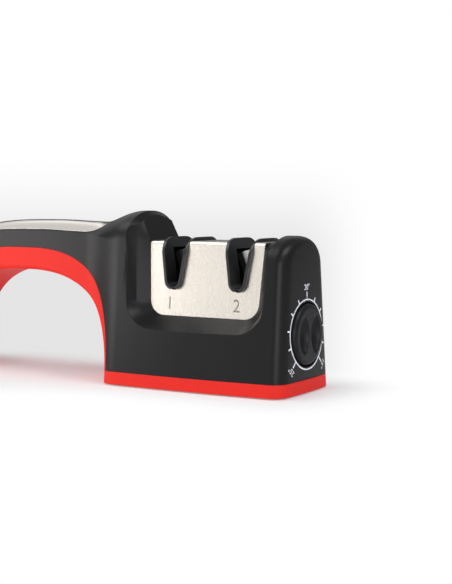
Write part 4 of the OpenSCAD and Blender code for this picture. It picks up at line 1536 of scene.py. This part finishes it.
@dataclass
class Studio:
    """The pale floor, the soft light and the camera."""

    target: Point3 = (65.72, 0.0, 40.14)
    camera: Point3 = (327.9, -436.2, 80.9)
    focal_px: float = 1206.3
    image_h: int = 584
    sensor_mm: float = 36.0
    clip_m: Point2 = (0.01, 100.0)
    floor_half: float = 3000.0
    floor_t: float = 20.0
    floor_colour: Colour = (0.94, 0.93, 0.93)
    floor_rough: float = 0.6
    floor_specular: float = 0.1
    floor_cloud: float = 3.0
    floor_mottle: float = 0.01
    # Painted shade on the backdrop: its grey level low down behind the part, and its bounds as seen from
    # the camera
    shade: float = 0.78
    shade_top: Point2 = (2.1, -3.5)
    shade_foot: Point2 = (-9.5, -8.0)
    shade_side: Point2 = (7.1, 3.0)
    shade_ahead: Point2 = (0.0, 0.9)
    foot_half: Point3 = (103.0, 22.0, 0.0)
    foot_fade: Point2 = (-15.0, 36.0)
    room_colour: Colour = (0.95, 0.97, 1.0)
    ambient: float = 0.3
    backdrop_cone: Point2 = (40.0, 22.0)
    dark_strip: float = 0.03
    dark_rise: Point2 = (16.0, 21.0)
    lamps: tuple[SoftBox, ...] = (
        SoftBox("key", (-560.0, -930.0, 330.0), (1400.0, 900.0), 2.5, (1.0, 0.98, 0.95)),
        SoftBox("over", (-470.0, -252.0, 850.0), (700.0, 500.0), 3.2, (1.0, 1.0, 1.0)),
        SoftBox("side", (-175.0, -170.0, 64.0), (110.0, 90.0), 0.16, (1.0, 0.96, 0.95)),
        SoftBox("right", (590.0, -590.0, 150.0), (400.0, 400.0), 2.2, (0.93, 0.95, 1.0)),
        SoftBox("back", (-545.0, 310.0, 580.0), (500.0, 400.0), 0.3, (1.0, 0.97, 0.93)),
        SoftBox("end", (500.0, -60.0, 620.0), (300.0, 300.0), 2.0, (0.95, 0.97, 1.0)),
    )

    @property
    def ahead(self) -> Vector:
        """The camera's line of sight."""
        return Vector(self.target) - Vector(self.camera)

    def build_camera(self) -> None:
        """Adds the camera at the photograph's viewing angle."""
        data = bpy.data.cameras.new("camera")
        data.sensor_fit = "VERTICAL"
        data.sensor_height = self.sensor_mm
        data.lens = self.focal_px * self.sensor_mm / self.image_h
        data.clip_start, data.clip_end = self.clip_m
        thing = new_object("camera", data)
        look_at(thing, self.camera, self.target)
        bpy.context.scene.camera = thing

    def level(self, kit: NodeKit, way: bpy.types.NodeSocket) -> bpy.types.NodeSocket:
        """Returns the backdrop's level: white, with a painted shade of soft grey low down behind the part.

        Args:
            kit: The node tree of the world or of a staged material.
            way: The direction as seen from the camera.

        Returns:
            The socket with the level, where 1 is white.
        """
        # Mask of the painted shade: low down in the view, to one side, and ahead of the camera
        height = kit.share(way, UP)
        grey = kit.rise(height, sines(self.shade_top))
        for value, ends in (
            (height, sines(self.shade_foot)),
            (kit.share(way, self.ahead.cross(UP)), sines(self.shade_side)),
            (kit.share(way, self.ahead), self.shade_ahead),
        ):
            grey = kit.calc("MULTIPLY", grey, kit.rise(value, ends))
        return kit.between(grey, 1.0, self.shade)

    def mirrored(self, kit: NodeKit, way: bpy.types.NodeSocket) -> bpy.types.NodeSocket:
        """Returns 1 for mirrored rays towards the backdrop behind the part and 0 for all others.

        Args:
            kit: The node tree of the world or of a staged material.
            way: The direction as seen from the part.

        Returns:
            The socket with the value.
        """
        path = kit.add("ShaderNodeLightPath").outputs
        rays = kit.calc("MAXIMUM", path["Is Glossy Ray"], path["Is Transmission Ray"])
        view = self.ahead
        view.z = 0.0
        ends = tuple(math.cos(math.radians(v)) for v in self.backdrop_cone)
        return kit.calc("MULTIPLY", rays, kit.rise(kit.share(way, view), ends))

    def show(self, kit: NodeKit, output: str, *values: bpy.types.NodeSocket) -> None:
        """Ends a node tree with a blend.

        Args:
            kit: The node tree.
            output: The name of its output node.
            values: The share of the second shader, the first shader and the second shader.
        """
        blend = kit.add("ShaderNodeMixShader")
        for socket, value in zip(blend.inputs, values):
            kit.feed(socket, value)
        kit.feed(kit.nodes[output].inputs["Surface"], blend.outputs[0])

    def build_world(self) -> None:
        """Sets a soft surrounding light, with a white backdrop that has a painted shade low down behind the
        part, and a low dark strip behind the part.
        """
        world = bpy.data.worlds.new("studio")
        bpy.context.scene.world = world
        world.use_nodes = True
        kit = NodeKit(world.node_tree)
        way = kit.add("ShaderNodeTexCoord").outputs["Generated"]
        mirrored = self.mirrored(kit, way)
        bright = kit.calc("MULTIPLY", mirrored, kit.rise(kit.share(way, UP), sines(self.dark_rise)))
        dim = kit.calc("SUBTRACT", mirrored, bright)
        room = kit.nodes["Background"]
        kit.feed(room.inputs["Color"], (*self.room_colour, 1.0))
        kit.feed(room.inputs["Strength"], kit.between(dim, self.ambient, self.dark_strip))
        # The white backdrop's strength carries the painted shade
        paper = {"Color": (1.0, 1.0, 1.0, 1.0), "Strength": self.level(kit, way)}
        white = kit.wired("ShaderNodeBackground", paper)
        seen = kit.add("ShaderNodeLightPath").outputs["Is Camera Ray"]
        self.show(kit, "World Output", kit.calc("MAXIMUM", bright, seen), room.outputs[0], white)

    def build_floor(self) -> None:
        """Lays the pale floor, which turns into the white backdrop away from the part and carries the
        backdrop's painted shade low down behind it.
        """
        side = self.floor_half
        floor = block("floor", (-side, -side, -self.floor_t), (side, side, 0.0))
        s = Shader("pale_floor")
        cloud = s.noise(s.place(EVEN), self.floor_cloud, 2.0)
        s.give({"Base Color": s.mottled(cloud, self.floor_colour, self.floor_mottle)})
        s.give({"Roughness": self.floor_rough, "Specular IOR Level": self.floor_specular})
        here = s.add("ShaderNodeTexCoord").outputs["Object"]
        beside = s.vector("SUBTRACT", s.vector("ABSOLUTE", here)[0], metres(self.foot_half))[0]
        reach = s.vector("LENGTH", s.vector("MAXIMUM", beside)[0])["Value"]
        from_part = s.vector("SUBTRACT", here, metres((self.target[0], 0.0, 0.0)))[0]
        from_camera = s.vector("SUBTRACT", here, metres(self.camera))[0]
        seen = s.add("ShaderNodeLightPath").outputs["Is Camera Ray"]
        shown = s.calc("MAXIMUM", self.mirrored(s, from_part), seen)
        shown = s.calc("MULTIPLY", shown, s.rise(reach, metres(self.foot_fade)))
        # The glow's strength carries the backdrop's painted shade
        glow = s.wired("ShaderNodeEmission", {"Strength": self.level(s, from_camera)})
        self.show(s, "Material Output", shown, s.surface.outputs[0], glow)
        floor.data.materials.append(s.material)

    def build(self) -> None:
        """Builds the whole studio."""
        bpy.context.scene.view_settings.view_transform = "Standard"
        self.build_camera()
        self.build_world()
        self.build_floor()
        for lamp in self.lamps:
            lamp.build(self.target)


def main() -> None:
    """Builds the part's looks and the studio."""
    logging.basicConfig(level=logging.INFO, format="%(name)s: %(message)s")
    finishes = Finishes()
    dress_nodes(finishes)
    casing = Casing(SHAPE, finishes)
    trim = SteelTrim(SHAPE, finishes)
    casing.housing(trim.inlay_cutter())
    casing.tray()
    casing.grip()
    trim.cover()
    trim.etching()
    trim.inlay()
    SlotGuide(trim, finishes).build()
    dial = AngleDial(SHAPE, finishes)
    dial.knob()
    dial.scale()
    Studio().build()


if __name__ == "__main__":
    main()
